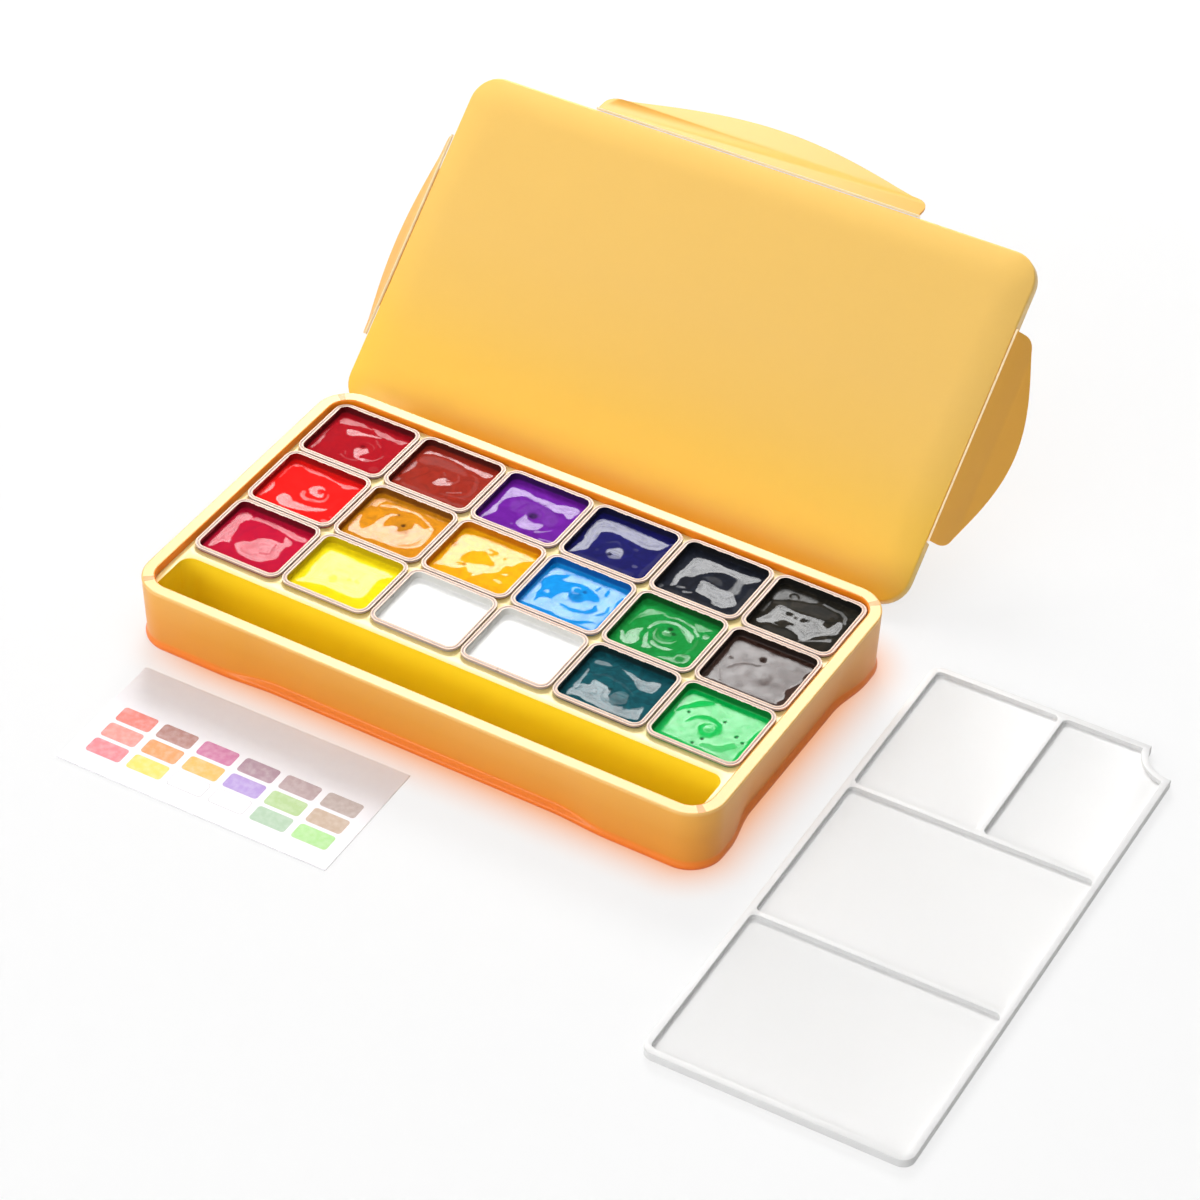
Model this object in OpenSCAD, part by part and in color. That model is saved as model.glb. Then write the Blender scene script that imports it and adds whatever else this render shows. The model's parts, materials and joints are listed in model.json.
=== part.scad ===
// Gouache paint set: eighteen lift-out cups of paint in a shallow plastic case,
// with the detached lid and its four latch flaps, a mixing palette and a colour card.
// Millimetres. X runs along the case, Y to the back, Z up.
// The origin is the centre of the case's underside.

/* [Case] */
// Length of the case over its rim
case_length = 315; // [305:1:330]
// Width of the case over its rim
case_width = 180.4; // [176:0.2:190]
// Height of the case
case_height = 36; // [34:0.5:44]
// Corner radius of the case, seen from above
case_corner = 18; // [14:0.5:22]
// Width of the flat rim
rim_width = 6.5; // [5:0.1:8]
// Depth of the deck below the top of the rim
deck_drop = 4; // [3:0.1:5]
// How far the long walls are drawn in at the bottom, between the corners
long_scoop = 4.8; // [0:0.1:5]
// How far the short walls are drawn in at the bottom, between the corners
short_scoop = 5.4; // [0:0.1:6]
// Height of the foot that runs round the bottom of the case
foot_height = 4; // [3:0.1:6]
// Thickness of the case's floor
floor_thickness = 2.4; // [1.6:0.1:4]

/* [Deck and brush slot] */
// Thickness of the deck plate
deck_thickness = 1.6; // [1.2:0.1:2.4]
// Length of the brush slot
slot_length = 295; // [280:1:298]
// Width of the brush slot
slot_width = 28.2; // [22:0.2:30]
// Corner radius at the back of the slot
slot_corner = 6; // [3:0.5:10]

/* [Cups] */
// Number of cups in a row
cup_columns = 6; // [4:1:6]
// Number of rows
cup_rows = 3; // [2:1:3]
// Distance between cups along the case
cup_pitch_x = 49.9; // [49.4:0.1:49.9]
// Distance between rows
cup_pitch_y = 44.15; // [43.8:0.05:44.3]
// Place of the middle row, behind the middle of the case
cup_centre_y = 15.9; // [14:0.1:17]
// Length of a cup's flange
flange_length = 48.9; // [47.5:0.1:49]
// Width of a cup's flange
flange_width = 43.3; // [42:0.1:43.4]
// Corner radius of a cup's flange
flange_corner = 6.2; // [4:0.1:8]
// Depth of a cup below its flange
cup_depth = 27; // [18:0.5:27.5]
// Level of the paint below the top of the flange
paint_drop = 3.6; // [2:0.1:3.8]

/* [Lid] */
// Length of the lid
lid_length = 319.6; // [316:0.2:324]
// Width of the lid
lid_width = 185.4; // [181:0.2:190]
// Corner radius of the lid
lid_corner = 15; // [12:0.5:24]
// Depth of the lid's skirt
skirt_depth = 7; // [4:0.1:8]
// Rise of the lid's panel above its edge
panel_rise = 3; // [1:0.1:5]
// Width of the sloping border round the panel
panel_border = 18; // [8:0.5:30]
// Tilt of the standing lid above the table, in degrees
lid_tilt = 40.3; // [35:0.1:45]
// Turn of the standing lid about the vertical, in degrees
lid_turn = 0.73; // [0:0.01:2]

/* [Latch flaps] */
// Half the length of the front and rear flaps
long_flap_half = 91; // [70:1:100]
// Half the length of the side flaps
short_flap_half = 55.5; // [40:0.5:62]
// Width of a flap at its ends
flap_end_width = 12.4; // [11:0.1:14]
// Width of a flap at its middle
flap_mid_width = 26; // [20:0.1:26]
// Width of the front flap at its middle, which lies between the lid and the case
front_mid_width = 23.5; // [20:0.1:23.5]
// Outward flare of a flap's lip, in degrees
lip_flare = 12; // [6:1:18]

/* [Palette and card] */
// Length of the palette
palette_length = 288.4; // [270:0.1:300]
// Width of the palette
palette_width = 129; // [120:0.1:140]
// Height of the palette
palette_height = 4.6; // [4:0.1:6]
// Length of the colour card
card_length = 147; // [140:0.5:150]
// Width of the colour card
card_width = 72.5; // [70:0.5:75]

/* [Hidden] */
$fn = 48;
eps = 0.01;                 // overlap of shapes that are joined
over = 1;                   // how far a cutter runs past what it cuts
soft = 1 - sqrt(0.5);       // middle of a rounded edge, as a share of its radius
cup_count = cup_columns * cup_rows;
cup_numbers = [for (i = [1 : cup_count]) str(i < 10 ? "0" : "", i)];

// Case
case_draft = 1.3;           // each wall leans in by this at the bottom
long_scoop_flat = 75;       // half length of the drawn-in stretch of a long wall
long_scoop_end = 106;       // where it has come back out
short_scoop_flat = 40;
short_scoop_end = 66;
rim_edge = 0.8;             // rounding of the rim's outer edge
foot_edge = 2;              // rounding of the bottom edge
foot_draft = 0.3;           // the foot is inside the rim by this
foot_long_scoop = 1.8;      // how far the foot is drawn in along the long walls
foot_short_scoop = 3.8;
foot_slope = 0.8;           // height of the slope from the foot to the wall, each way from the foot's top
ledge_width = 1.5;          // ledge that carries the deck
front_ledge = 0.3;          // the same along the front, beside the brush slot
deck_gap = 0.15;            // play round the deck
hollow_inset = rim_width + ledge_width;
front_room = ledge_width - front_ledge;
deck_top = case_height - deck_drop;
deck_under = deck_top - deck_thickness;
inner_length = case_length - 2 * rim_width;
inner_width = case_width - 2 * rim_width;
inner_corner = case_corner - rim_width;
scoop_steps = 8;            // points along each end of a drawn-in stretch
corner_steps = 9;           // points round a corner

// Brush slot
slot_wall = 1.6;
slot_back = -inner_width / 2 + slot_width;

// Cups
cup_play = 0.5;             // play between a cup's body and its hole
cup_wall = 1;
cup_floor = 1.2;
cup_taper = 2;              // how much narrower each side is at the bottom
flange_ring = 2.3;          // width of the flange, from its edge to the opening
flange_thickness = 1.2;
seat_inset = 0.4;           // seat under the flange, inside the flange's edge
seat_height = 0.9;
corner_ease = 0.8;          // how much rounder the opening is than the flange
seat_bottom = deck_top + 0.1;
flange_under = seat_bottom + seat_height;
flange_top = flange_under + flange_thickness;
opening_length = flange_length - 2 * flange_ring;
opening_width = flange_width - 2 * flange_ring;
opening_corner = flange_corner - flange_ring + corner_ease;
body_length = opening_length + 2 * cup_wall;
body_width = opening_width + 2 * cup_wall;
body_corner = opening_corner + cup_wall;
cup_bottom = seat_bottom - cup_depth;
paint_play = 0.05;
paint_top = flange_top - paint_drop;
// Back row, middle row and front row, each from left to right
paint_colours = [
    "#B3101C", "#8E2A1C", "#5A2396", "#16205E", "#1B2233", "#1E1E1E",
    "#E3201B", "#D98A10", "#F4A400", "#1F8FE0", "#17873C", "#4A3A3C",
    "#C4126A", "#F5E400", "#F4F3F0", "#F6F5F2", "#0E4A50", "#19B058"];

// Lid
lid_wall = 1.6;
lid_edge = 1;               // rounding of the lid's outer edge
lid_clearance = 0.05;       // the lid's edge above the table
dome_extra = 0.2;           // the wall is this much thicker at the lid's edge
lid_stand_x = -13.4;        // middle of the lid's lower edge
lid_stand_y = 115;
lid_stand_z = skirt_depth * cos(lid_tilt) + lid_clearance;
dome_steps = 7;             // rings in the sloping border

// Flaps
flap_thickness = 1.5;
hinge_out = 1.1;            // hinge axis beyond the lid's edge
hinge_down = 0.8;           // hinge axis below the lid's edge
fold_at = 12.4;             // where the lip starts to flare
fold_radius = 14;
flap_notch = 1;             // room in the skirt past each end of a flap
end_radius = 7;             // rounding of a flap's free corners
arch_share = 0.9;           // share of a flap's length that its arch takes
ridge_share = 0.7;          // share of a flap's length that its snap ridge takes
ridge_at = 9.5;             // snap ridge inside the flap
ridge_radius = 1.2;
ridge_height = 2.2;
// Angle of each flap from the plane of the lid's edge; 90 is shut
front_flap_angle = -32.5;
rear_flap_angle = 40;
left_flap_angle = 60;
right_flap_angle = 55;

// Palette
palette_corner = 6;
palette_x = 247;
palette_y = -50.9;
palette_turn = 1.1;
palette_rim = 3.4;
palette_rib = 2.6;
well_depth = 2.2;
well_corner = 3;
near_well = 93.5;           // length of the well nearest the front
middle_well = 93.5;
far_split = 0.527;           // left share of the far wells' width
notch_radius = 17;

// Card
card_thickness = 0.5;
card_x = -65;
card_y = -138;
card_turn = 1;

// ---- Outlines ----

function smooth_step(t) = t <= 0 ? 0 : t >= 1 ? 1 : t * t * (3 - 2 * t);

// 1 in the drawn-in stretch of a wall, 0 beyond its end
function drawn_in(s, flat, end) = 1 - smooth_step((abs(s) - flat) / (end - flat));

// Points round one corner, from angle start to start + 90
function corner_arc(x, y, r, start) =
    [for (i = [0 : corner_steps]) let (a = start + 90 * i / corner_steps)
        [x + r * cos(a), y + r * sin(a)]];

// Places along a wall where it bends, between its corners
function wall_places(flat, end) =
    [for (side = [-1, 1], i = [0 : scoop_steps])
        let (t = i / scoop_steps) side < 0 ? -end + (end - flat) * t : flat + (end - flat) * t];

// Outline of the case: walls drawn in by the given amounts between the corners
function case_outline(inset, long_in, short_in) =
    let (
        r = case_corner - inset,
        hx = case_length / 2 - inset,
        hy = case_width / 2 - inset,
        cx = hx - r,
        cy = hy - r)
    concat(
        [for (s = wall_places(long_scoop_flat, long_scoop_end))
            [s, -hy + long_in * drawn_in(s, long_scoop_flat, long_scoop_end)]],
        corner_arc(cx, -cy, r, -90),
        [for (s = wall_places(short_scoop_flat, short_scoop_end))
            [hx - short_in * drawn_in(s, short_scoop_flat, short_scoop_end), s]],
        corner_arc(cx, cy, r, 0),
        [for (s = wall_places(long_scoop_flat, long_scoop_end))
            [-s, hy - long_in * drawn_in(s, long_scoop_flat, long_scoop_end)]],
        corner_arc(-cx, cy, r, 90),
        [for (s = wall_places(short_scoop_flat, short_scoop_end))
            [-hx + short_in * drawn_in(s, short_scoop_flat, short_scoop_end), -s]],
        corner_arc(-cx, -cy, r, 180));

// Rounded rectangle as points
function round_outline(length, width, r) =
    let (cx = length / 2 - r, cy = width / 2 - r)
    concat(corner_arc(cx, cy, r, 0), corner_arc(-cx, cy, r, 90),
        corner_arc(-cx, -cy, r, 180), corner_arc(cx, -cy, r, 270));

// ---- Shapes ----

function middle(outline) =
    [for (k = [0, 1]) let (v = [for (p = outline) p[k]]) (min(v) + max(v)) / 2];

// Closed skin through rings of equally many points, each [outline, height].
// The first and last rings are closed by faces that meet at their middles.
module loft(rings) {
    n = len(rings[0][0]);
    last = len(rings) - 1;
    first_middle = n * (last + 1);
    points = concat(
        [for (ring = rings) for (p = ring[0]) [p[0], p[1], ring[1]]],
        [for (ring = [rings[0], rings[last]]) [each middle(ring[0]), ring[1]]]);
    sides = [for (k = [0 : last - 1]) for (i = [0 : n - 1])
        let (a = k * n + i, b = k * n + (i + 1) % n)
        each [[a, b + n, b], [a, a + n, b + n]]];
    bottom = [for (i = [0 : n - 1]) [i, (i + 1) % n, first_middle]];
    top = [for (i = [0 : n - 1]) [last * n + (i + 1) % n, last * n + i, first_middle + 1]];
    polyhedron(points, concat(bottom, sides, top), convexity = 4);
}

// Rounded rectangle
module round_rect(length, width, r) {
    square([length - 2 * r, width], center = true);
    square([length, width - 2 * r], center = true);
    for (x = [-1, 1], y = [-1, 1])
        translate([x * (length / 2 - r), y * (width / 2 - r)]) circle(r);
}

// Upright block with rounded corners, standing on z
module round_block(length, width, r, z, height) {
    translate([0, 0, z]) linear_extrude(height) round_rect(length, width, r);
}

// Block with rounded corners whose four sides lean in by taper at the bottom
module tapered_block(length, width, r, taper, z, height) {
    cx = length / 2 - r;
    cy = width / 2 - r;
    translate([0, 0, z]) {
        for (x = [-cx, cx], y = [-cy, cy])
            translate([x, y, 0]) cylinder(r1 = r - taper, r2 = r, h = height);
        side_x = length / 2;
        side_y = width / 2;
        translate([0, cy, 0]) rotate([90, 0, 0]) linear_extrude(2 * cy)
            polygon([[-side_x + taper, 0], [side_x - taper, 0], [side_x, height], [-side_x, height]]);
        translate([-cx, 0, 0]) rotate([90, 0, 90]) linear_extrude(2 * cx)
            polygon([[-side_y + taper, 0], [side_y - taper, 0], [side_y, height], [-side_y, height]]);
    }
}

// ---- Case ----

// Ring of the outer wall at height z, drawn in as far as it is there
function wall_ring(z, edge) =
    let (down = 1 - z / case_height)
    [case_outline(case_draft * down + edge, long_scoop * down, short_scoop * down), z];

// Ring of the foot, which is drawn in less than the wall above it
function foot_ring(z, edge) =
    [case_outline(foot_draft + edge, foot_long_scoop, foot_short_scoop), z];

// Ring of the recess that holds the deck
function recess_ring(z) = [case_outline(rim_width, 0, 0), z];

// Ring of the hollow below the ledge; in front the ledge is narrow, where the slot is
function hollow_ring(z) =
    [[for (p = case_outline(hollow_inset, 0, 0)) [p[0], p[1] - (p[1] < 0 ? front_room : 0)]], z];

// The same hollow as an outline, smaller by the gap all round
module hollow_outline(gap) {
    translate([0, -front_room / 2])
        round_rect(case_length - 2 * (hollow_inset + gap),
            case_width - 2 * (hollow_inset + gap) + front_room, case_corner - hollow_inset - gap);
}

// One skin: up the outer wall, over the rim, down inside and across the floor
module base_shell() {
    color("#F4B24A") loft(concat(
        [for (a = [0 : 30 : 90]) foot_ring(foot_edge * (1 - cos(a)), foot_edge * (1 - sin(a)))],
        [foot_ring(foot_height - foot_slope, 0),
        wall_ring(foot_height + foot_slope, 0),
        wall_ring(case_height - rim_edge, 0),
        wall_ring(case_height - soft * rim_edge, soft * rim_edge),
        wall_ring(case_height, rim_edge),
        recess_ring(case_height),
        recess_ring(deck_under),
        hollow_ring(deck_under),
        hollow_ring(floor_thickness)]));
}

// Outline of the brush slot, which runs on past the case's front wall
module slot_outline(grow) {
    past = 20;
    translate([0, slot_back + grow - (slot_width + past) / 2])
        round_rect(slot_length + 2 * grow, slot_width + past, slot_corner + grow);
}

module cup_places() {
    for (i = [0 : cup_count - 1]) translate(cup_place(i)) children();
}

function cup_place(i) =
    [(i % cup_columns - (cup_columns - 1) / 2) * cup_pitch_x,
        cup_centre_y + ((cup_rows - 1) / 2 - floor(i / cup_columns)) * cup_pitch_y, 0];

module cup_deck() {
    hole_length = body_length + 2 * cup_play;
    hole_width = body_width + 2 * cup_play;
    color("#FBDFA4") difference() {
        round_block(inner_length - 2 * deck_gap, inner_width - 2 * deck_gap,
            inner_corner - deck_gap, deck_under, deck_thickness);
        cup_places()
            round_block(hole_length, hole_width, body_corner + cup_play,
                deck_under - over, deck_thickness + 2 * over);
        translate([0, 0, deck_under - over]) linear_extrude(deck_thickness + 2 * over) slot_outline(0);
    }
    color("#FFBC00") translate([0, 0, floor_thickness])
        linear_extrude(deck_under - floor_thickness) difference() {
            intersection() {
                slot_outline(slot_wall);
                hollow_outline(deck_gap);
            }
            slot_outline(0);
        }
}

// ---- Cups ----

module cup(i) {
    color("#F3E6DF", 0.6) translate(cup_place(i)) difference() {
        union() {
            round_block(flange_length, flange_width, flange_corner, flange_under, flange_thickness);
            round_block(flange_length - 2 * seat_inset, flange_width - 2 * seat_inset,
                flange_corner - seat_inset, seat_bottom, seat_height + eps);
            tapered_block(body_length, body_width, body_corner, cup_taper, cup_bottom, cup_depth + eps);
        }
        tapered_block(opening_length, opening_width, opening_corner, cup_taper,
            cup_bottom + cup_floor, flange_top - cup_bottom - cup_floor);
    }
}

module paint(i) {
    play = paint_play;
    full = flange_top - cup_bottom - cup_floor;
    height = paint_top - cup_bottom - cup_floor - play;
    lean = cup_taper * height / full;
    back = cup_taper * paint_drop / full + play;
    color(paint_colours[i]) translate(cup_place(i))
        tapered_block(opening_length - 2 * back, opening_width - 2 * back, opening_corner - back,
            lean, cup_bottom + cup_floor + play, height);
}

// ---- Lid ----

// Puts what is drawn flat, with the lid's lower edge on X, where the lid stands
module lid_place() {
    translate([lid_stand_x, lid_stand_y, lid_stand_z])
        rotate([lid_tilt, 0, lid_turn]) children();
}

function lid_ring(inset, z) =
    [[for (p = round_outline(lid_length - 2 * inset, lid_width - 2 * inset, lid_corner - inset / 2))
        [p[0], p[1] + lid_width / 2]], z];

// Rings of the lid's sloping border, lowered by drop and inside by inset
function dome_rings(inset, drop) =
    [for (k = [0 : dome_steps]) let (t = k / dome_steps)
        lid_ring(inset + (panel_border - inset) * t, panel_rise * (1 - (1 - t) * (1 - t)) - drop)];

module lid_skin() {
    loft(concat(
        [lid_ring(0, -skirt_depth), lid_ring(0, -lid_edge), lid_ring(soft * lid_edge, -soft * lid_edge)],
        dome_rings(lid_edge, 0)));
}

module lid_hollow() {
    loft(concat(
        [lid_ring(lid_wall, -skirt_depth - over)],
        dome_rings(lid_wall + dome_extra, lid_wall)));
}

// Room that a latch flap takes out of the skirt, along a side drawn on X
module flap_room(half) {
    length = 2 * (half + flap_notch);
    translate([-length / 2, -2 * lid_wall, -skirt_depth - over])
        cube([length, 4 * lid_wall, skirt_depth + over - lid_wall]);
}

module lid_shell() {
    color("#FDCE70") lid_place() difference() {
        lid_skin();
        lid_hollow();
        at_front() flap_room(long_flap_half);
        at_rear() flap_room(long_flap_half);
        at_left() flap_room(short_flap_half);
        at_right() flap_room(short_flap_half);
    }
}

// Each side of the flat lid, with Y pointing out of the lid
module at_front() {
    rotate([0, 0, 180]) children();
}
module at_rear() {
    translate([0, lid_width, 0]) children();
}
module at_left() {
    translate([-lid_length / 2, lid_width / 2, 0]) rotate([0, 0, 90]) children();
}
module at_right() {
    translate([lid_length / 2, lid_width / 2, 0]) rotate([0, 0, -90]) children();
}

// ---- Latch flaps ----

// Width of a flap at s along it: rounded ends, then an arch in the middle
function flap_width(s, half, middle_width) =
    let (
        from_end = half - abs(s),
        arch = cos(min(90, 90 * abs(s) / (arch_share * half))),
        body = flap_end_width + (middle_width - flap_end_width) * arch,
        cut = from_end >= end_radius ? 0
            : end_radius - sqrt(end_radius * end_radius - pow(end_radius - from_end, 2)))
    body - cut;

// Middle line of a flap's cross-section, at angle a round its fold
function fold_point(a) =
    [fold_at + fold_radius * sin(a), fold_radius * (1 - cos(a))];

function flap_section(side) =
    let (
        reach = 2 * flap_mid_width,
        bend = [for (k = [0 : 4]) let (a = lip_flare * k / 4)
            fold_point(a) + side * [-sin(a), cos(a)]],
        tip = bend[4] + reach * [cos(lip_flare), sin(lip_flare)])
    concat([[0, side]], bend, [tip]);

function reversed(list) = [for (i = [len(list) - 1 : -1 : 0]) list[i]];

module flap_plate(half, middle_width) {
    t = flap_thickness / 2;
    steps = 40;
    outline = concat(
        [[half, 0], [-half, 0]],
        [for (k = [0 : steps]) let (s = -half * cos(180 * k / steps))
            [s, flap_width(s, half, middle_width)]]);
    intersection() {
        translate([half + over, 0, 0]) rotate([90, 0, -90]) mirror([1, 0, 0])
            linear_extrude(2 * (half + over))
                polygon(concat(flap_section(-t), reversed(flap_section(t))));
        translate([0, 0, -flap_mid_width]) linear_extrude(2 * flap_mid_width) polygon(outline);
    }
}

// A flap, hinged on X and flat along Y, with its outer face up
module flap(half, middle_width = flap_mid_width) {
    t = flap_thickness / 2;
    ridge = ridge_share * half;
    flap_plate(half, middle_width);
    translate([-half, 0, 0]) rotate([0, 90, 0]) cylinder(r = t, h = 2 * half);
    translate([-ridge, ridge_at, t - ridge_height]) rotate([0, 90, 0])
        cylinder(r = ridge_radius, h = 2 * ridge);
}

// Turns a flap about its hinge, by its angle from the plane of the lid's edge
module hinged(angle) {
    translate([0, hinge_out, -hinge_down]) rotate([-angle, 0, 0]) children();
}

module front_flap() {
    color("#F7C766") lid_place() at_front() hinged(front_flap_angle)
        flap(long_flap_half, front_mid_width);
}
module rear_flap() {
    color("#FFE3A6") lid_place() at_rear() hinged(rear_flap_angle) flap(long_flap_half);
}
module left_flap() {
    color("#F7C766") lid_place() at_left() hinged(left_flap_angle) flap(short_flap_half);
}
module right_flap() {
    color("#E39A3C") lid_place() at_right() hinged(right_flap_angle) flap(short_flap_half);
}

// ---- Palette and card ----

module palette_well(x0, x1, y0, y1) {
    translate([(x0 + x1) / 2, (y0 + y1) / 2, palette_height - well_depth])
        linear_extrude(well_depth + over) round_rect(x1 - x0, y1 - y0, well_corner);
}

module palette() {
    left = -palette_width / 2 + palette_rim;
    right = palette_width / 2 - palette_rim;
    near = -palette_length / 2 + palette_rim;
    far = palette_length / 2 - palette_rim;
    middle = near + near_well + palette_rib;
    split_y = middle + middle_well + palette_rib;
    split_x = left + (right - left) * far_split;
    corner = [palette_width / 2, palette_length / 2];
    color("white") translate([palette_x, palette_y, 0]) rotate([0, 0, palette_turn]) difference() {
        round_block(palette_width, palette_length, palette_corner, 0, palette_height);
        palette_well(left, right, near, near + near_well);
        palette_well(left, right, middle, middle + middle_well);
        palette_well(left, split_x - palette_rib / 2, split_y, far);
        difference() {
            palette_well(split_x + palette_rib / 2, right, split_y, far);
            translate([corner[0], corner[1], 0])
                cylinder(r = notch_radius + palette_rim, h = 2 * palette_height);
        }
        translate([corner[0], corner[1], -over])
            cylinder(r = notch_radius, h = palette_height + 2 * over);
    }
}

module colour_card() {
    color("#F7F6F7") translate([card_x, card_y, 0]) rotate([0, 0, card_turn])
        translate([-card_length / 2, -card_width / 2, 0])
            cube([card_length, card_width, card_thickness]);
}

base_shell();
cup_deck();
for (i = [0 : cup_count - 1]) {
    cup(i);
    paint(i);
}
lid_shell();
front_flap();
rear_flap();
left_flap();
right_flap();
palette();
colour_card();
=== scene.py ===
"""Looks of a gouache paint set: case with eighteen cups of wet paint, lid with its latch flaps,
mixing palette and colour card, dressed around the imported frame."""

import json
import math

import bmesh
import bpy
import numpy as np
from mathutils import Matrix, Vector

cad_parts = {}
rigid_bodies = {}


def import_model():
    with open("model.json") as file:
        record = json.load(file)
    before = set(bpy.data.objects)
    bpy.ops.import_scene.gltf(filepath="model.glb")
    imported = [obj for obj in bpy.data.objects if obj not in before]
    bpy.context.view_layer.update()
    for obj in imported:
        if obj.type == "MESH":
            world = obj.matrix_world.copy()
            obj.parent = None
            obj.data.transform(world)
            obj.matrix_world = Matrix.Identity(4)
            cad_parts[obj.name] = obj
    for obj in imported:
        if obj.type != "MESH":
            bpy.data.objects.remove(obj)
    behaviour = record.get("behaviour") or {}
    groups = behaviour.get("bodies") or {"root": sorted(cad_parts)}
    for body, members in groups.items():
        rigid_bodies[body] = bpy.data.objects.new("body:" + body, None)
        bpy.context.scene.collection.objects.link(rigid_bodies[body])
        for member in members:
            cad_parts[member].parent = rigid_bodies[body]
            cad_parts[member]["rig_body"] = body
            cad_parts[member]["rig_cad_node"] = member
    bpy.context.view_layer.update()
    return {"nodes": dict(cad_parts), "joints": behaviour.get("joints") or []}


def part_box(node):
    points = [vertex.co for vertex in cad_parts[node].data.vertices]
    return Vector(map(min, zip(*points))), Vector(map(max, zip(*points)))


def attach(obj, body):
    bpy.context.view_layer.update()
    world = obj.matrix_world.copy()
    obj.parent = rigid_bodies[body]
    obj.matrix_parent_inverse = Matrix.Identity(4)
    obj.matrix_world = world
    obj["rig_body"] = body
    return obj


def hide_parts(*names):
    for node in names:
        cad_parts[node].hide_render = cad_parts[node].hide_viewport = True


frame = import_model()

MM = 0.001
CUPS = [f"{number:02d}" for number in range(1, 19)]

# ---- Stage: camera, light, table ----

CAMERA_PLACE = Vector((0.75664, -1.23474, 1.26635))
CAMERA_AZIMUTH = 29.835     # degrees round from the front, to the right
CAMERA_ELEVATION = 40.465
CAMERA_ROLL = 1.36
CAMERA_LENS = 120.94        # mm, on a 36 mm sensor


def make_camera():
    """The camera stands to the front right and looks down on the set."""
    azimuth, elevation, roll = (math.radians(a) for a in (CAMERA_AZIMUTH, CAMERA_ELEVATION, CAMERA_ROLL))
    back = Vector((math.sin(azimuth) * math.cos(elevation), -math.cos(azimuth) * math.cos(elevation),
                   math.sin(elevation)))
    level = Vector((math.cos(azimuth), math.sin(azimuth), 0))
    upright = back.cross(level)
    right = level * math.cos(roll) + upright * math.sin(roll)
    up = back.cross(right)
    data = bpy.data.cameras.new("photo_view")
    data.lens = CAMERA_LENS
    data.sensor_width = 36
    camera = bpy.data.objects.new("photo_view", data)
    camera.matrix_world = Matrix.Translation(CAMERA_PLACE) @ Matrix((right, up, back)).transposed().to_4x4()
    bpy.context.scene.collection.objects.link(camera)
    bpy.context.scene.camera = camera


def softbox(name, towards, distance, width, height, radiance):
    """A square lamp aimed at the set, as bright as the given share of a white sheet in full light."""
    data = bpy.data.lights.new(name, "AREA")
    data.shape = "RECTANGLE"
    data.size = width
    data.size_y = height
    data.energy = radiance * math.pi * width * height
    lamp = bpy.data.objects.new(name, data)
    direction = Vector(towards).normalized()
    lamp.location = direction * distance
    lamp.rotation_euler = direction.to_track_quat("Z", "Y").to_euler()
    lamp.visible_camera = False
    bpy.context.scene.collection.objects.link(lamp)


def make_light():
    """A small bright softbox high behind on the left, which level surfaces mirror towards the camera,
    a wide one in front for the walls and the lid, and soft light from all round."""
    softbox("window_softbox", (-0.39, 0.66, 0.65), 1.7, 0.74, 0.50, 18.0)
    softbox("front_fill", (-0.20, -0.75, 0.65), 2.6, 3.0, 2.4, 3.3)
    world = bpy.data.worlds.new("studio")
    world.use_nodes = True
    world.node_tree.nodes["Background"].inputs["Color"].default_value = (1, 1, 1, 1)
    world.node_tree.nodes["Background"].inputs["Strength"].default_value = 0.27
    bpy.context.scene.world = world
    bpy.context.scene.view_settings.view_transform = "Standard"


# ---- Materials ----

def srgb(code):
    """Linear colour of an sRGB hex value."""
    channels = [int(code[k:k + 2], 16) / 255 for k in (1, 3, 5)]
    return [c / 12.92 if c <= 0.04045 else ((c + 0.055) / 1.055) ** 2.4 for c in channels] + [1.0]


def add(tree, kind, inputs=None, **settings):
    """Adds a node with its settings; each input is a value or the socket that feeds it."""
    node = tree.nodes.new(kind)
    for name, value in settings.items():
        setattr(node, name, value)
    for socket, value in (inputs or {}).items():
        if isinstance(value, bpy.types.NodeSocket):
            tree.links.new(value, node.inputs[socket])
        else:
            node.inputs[socket].default_value = value
    return node


def new_material(name, shader):
    """A material with one Principled shader; shader holds the sockets that are the same all over."""
    material = bpy.data.materials.new(name)
    material.use_nodes = True
    tree = material.node_tree
    principled = tree.nodes["Principled BSDF"]
    for socket, value in shader.items():
        principled.inputs[socket].default_value = value
    place = add(tree, "ShaderNodeTexCoord").outputs["Object"]
    return material, tree, principled, place


def blend_colours(tree, share, first, second):
    """Socket with the mix of two colours, each a hex code or a socket."""
    sides = [srgb(c) if isinstance(c, str) else c for c in (first, second)]
    return add(tree, "ShaderNodeMix", {0: share, 6: sides[0], 7: sides[1]}, data_type="RGBA").outputs[2]


# Heights in mm on the case's outside, and its colour there: painted shade and bounce light turn the wall a
# deeper orange towards the foot, and painted sheen makes the rim's top paler
CASE_SHADE_AND_SHEEN_TONES = [(0, "#E85C00"), (2.5, "#FF7400"), (4.6, "#FF8208"), (6.5, "#F0921C"), (20, "#EE9A22"),
              (34, "#F4AC3C"), (35.6, "#FFCB78"), (36, "#FFCB78")]
# The same on the lid: painted bounce light from the case makes it a deeper yellow low down, near the case's
# rim
LID_BOUNCE_TONES = [(5, "#FFCE3C"), (34, "#FFCE4A"), (52, "#FCCC5C"), (75, "#FACB66"), (135, "#FACB66")]


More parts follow.
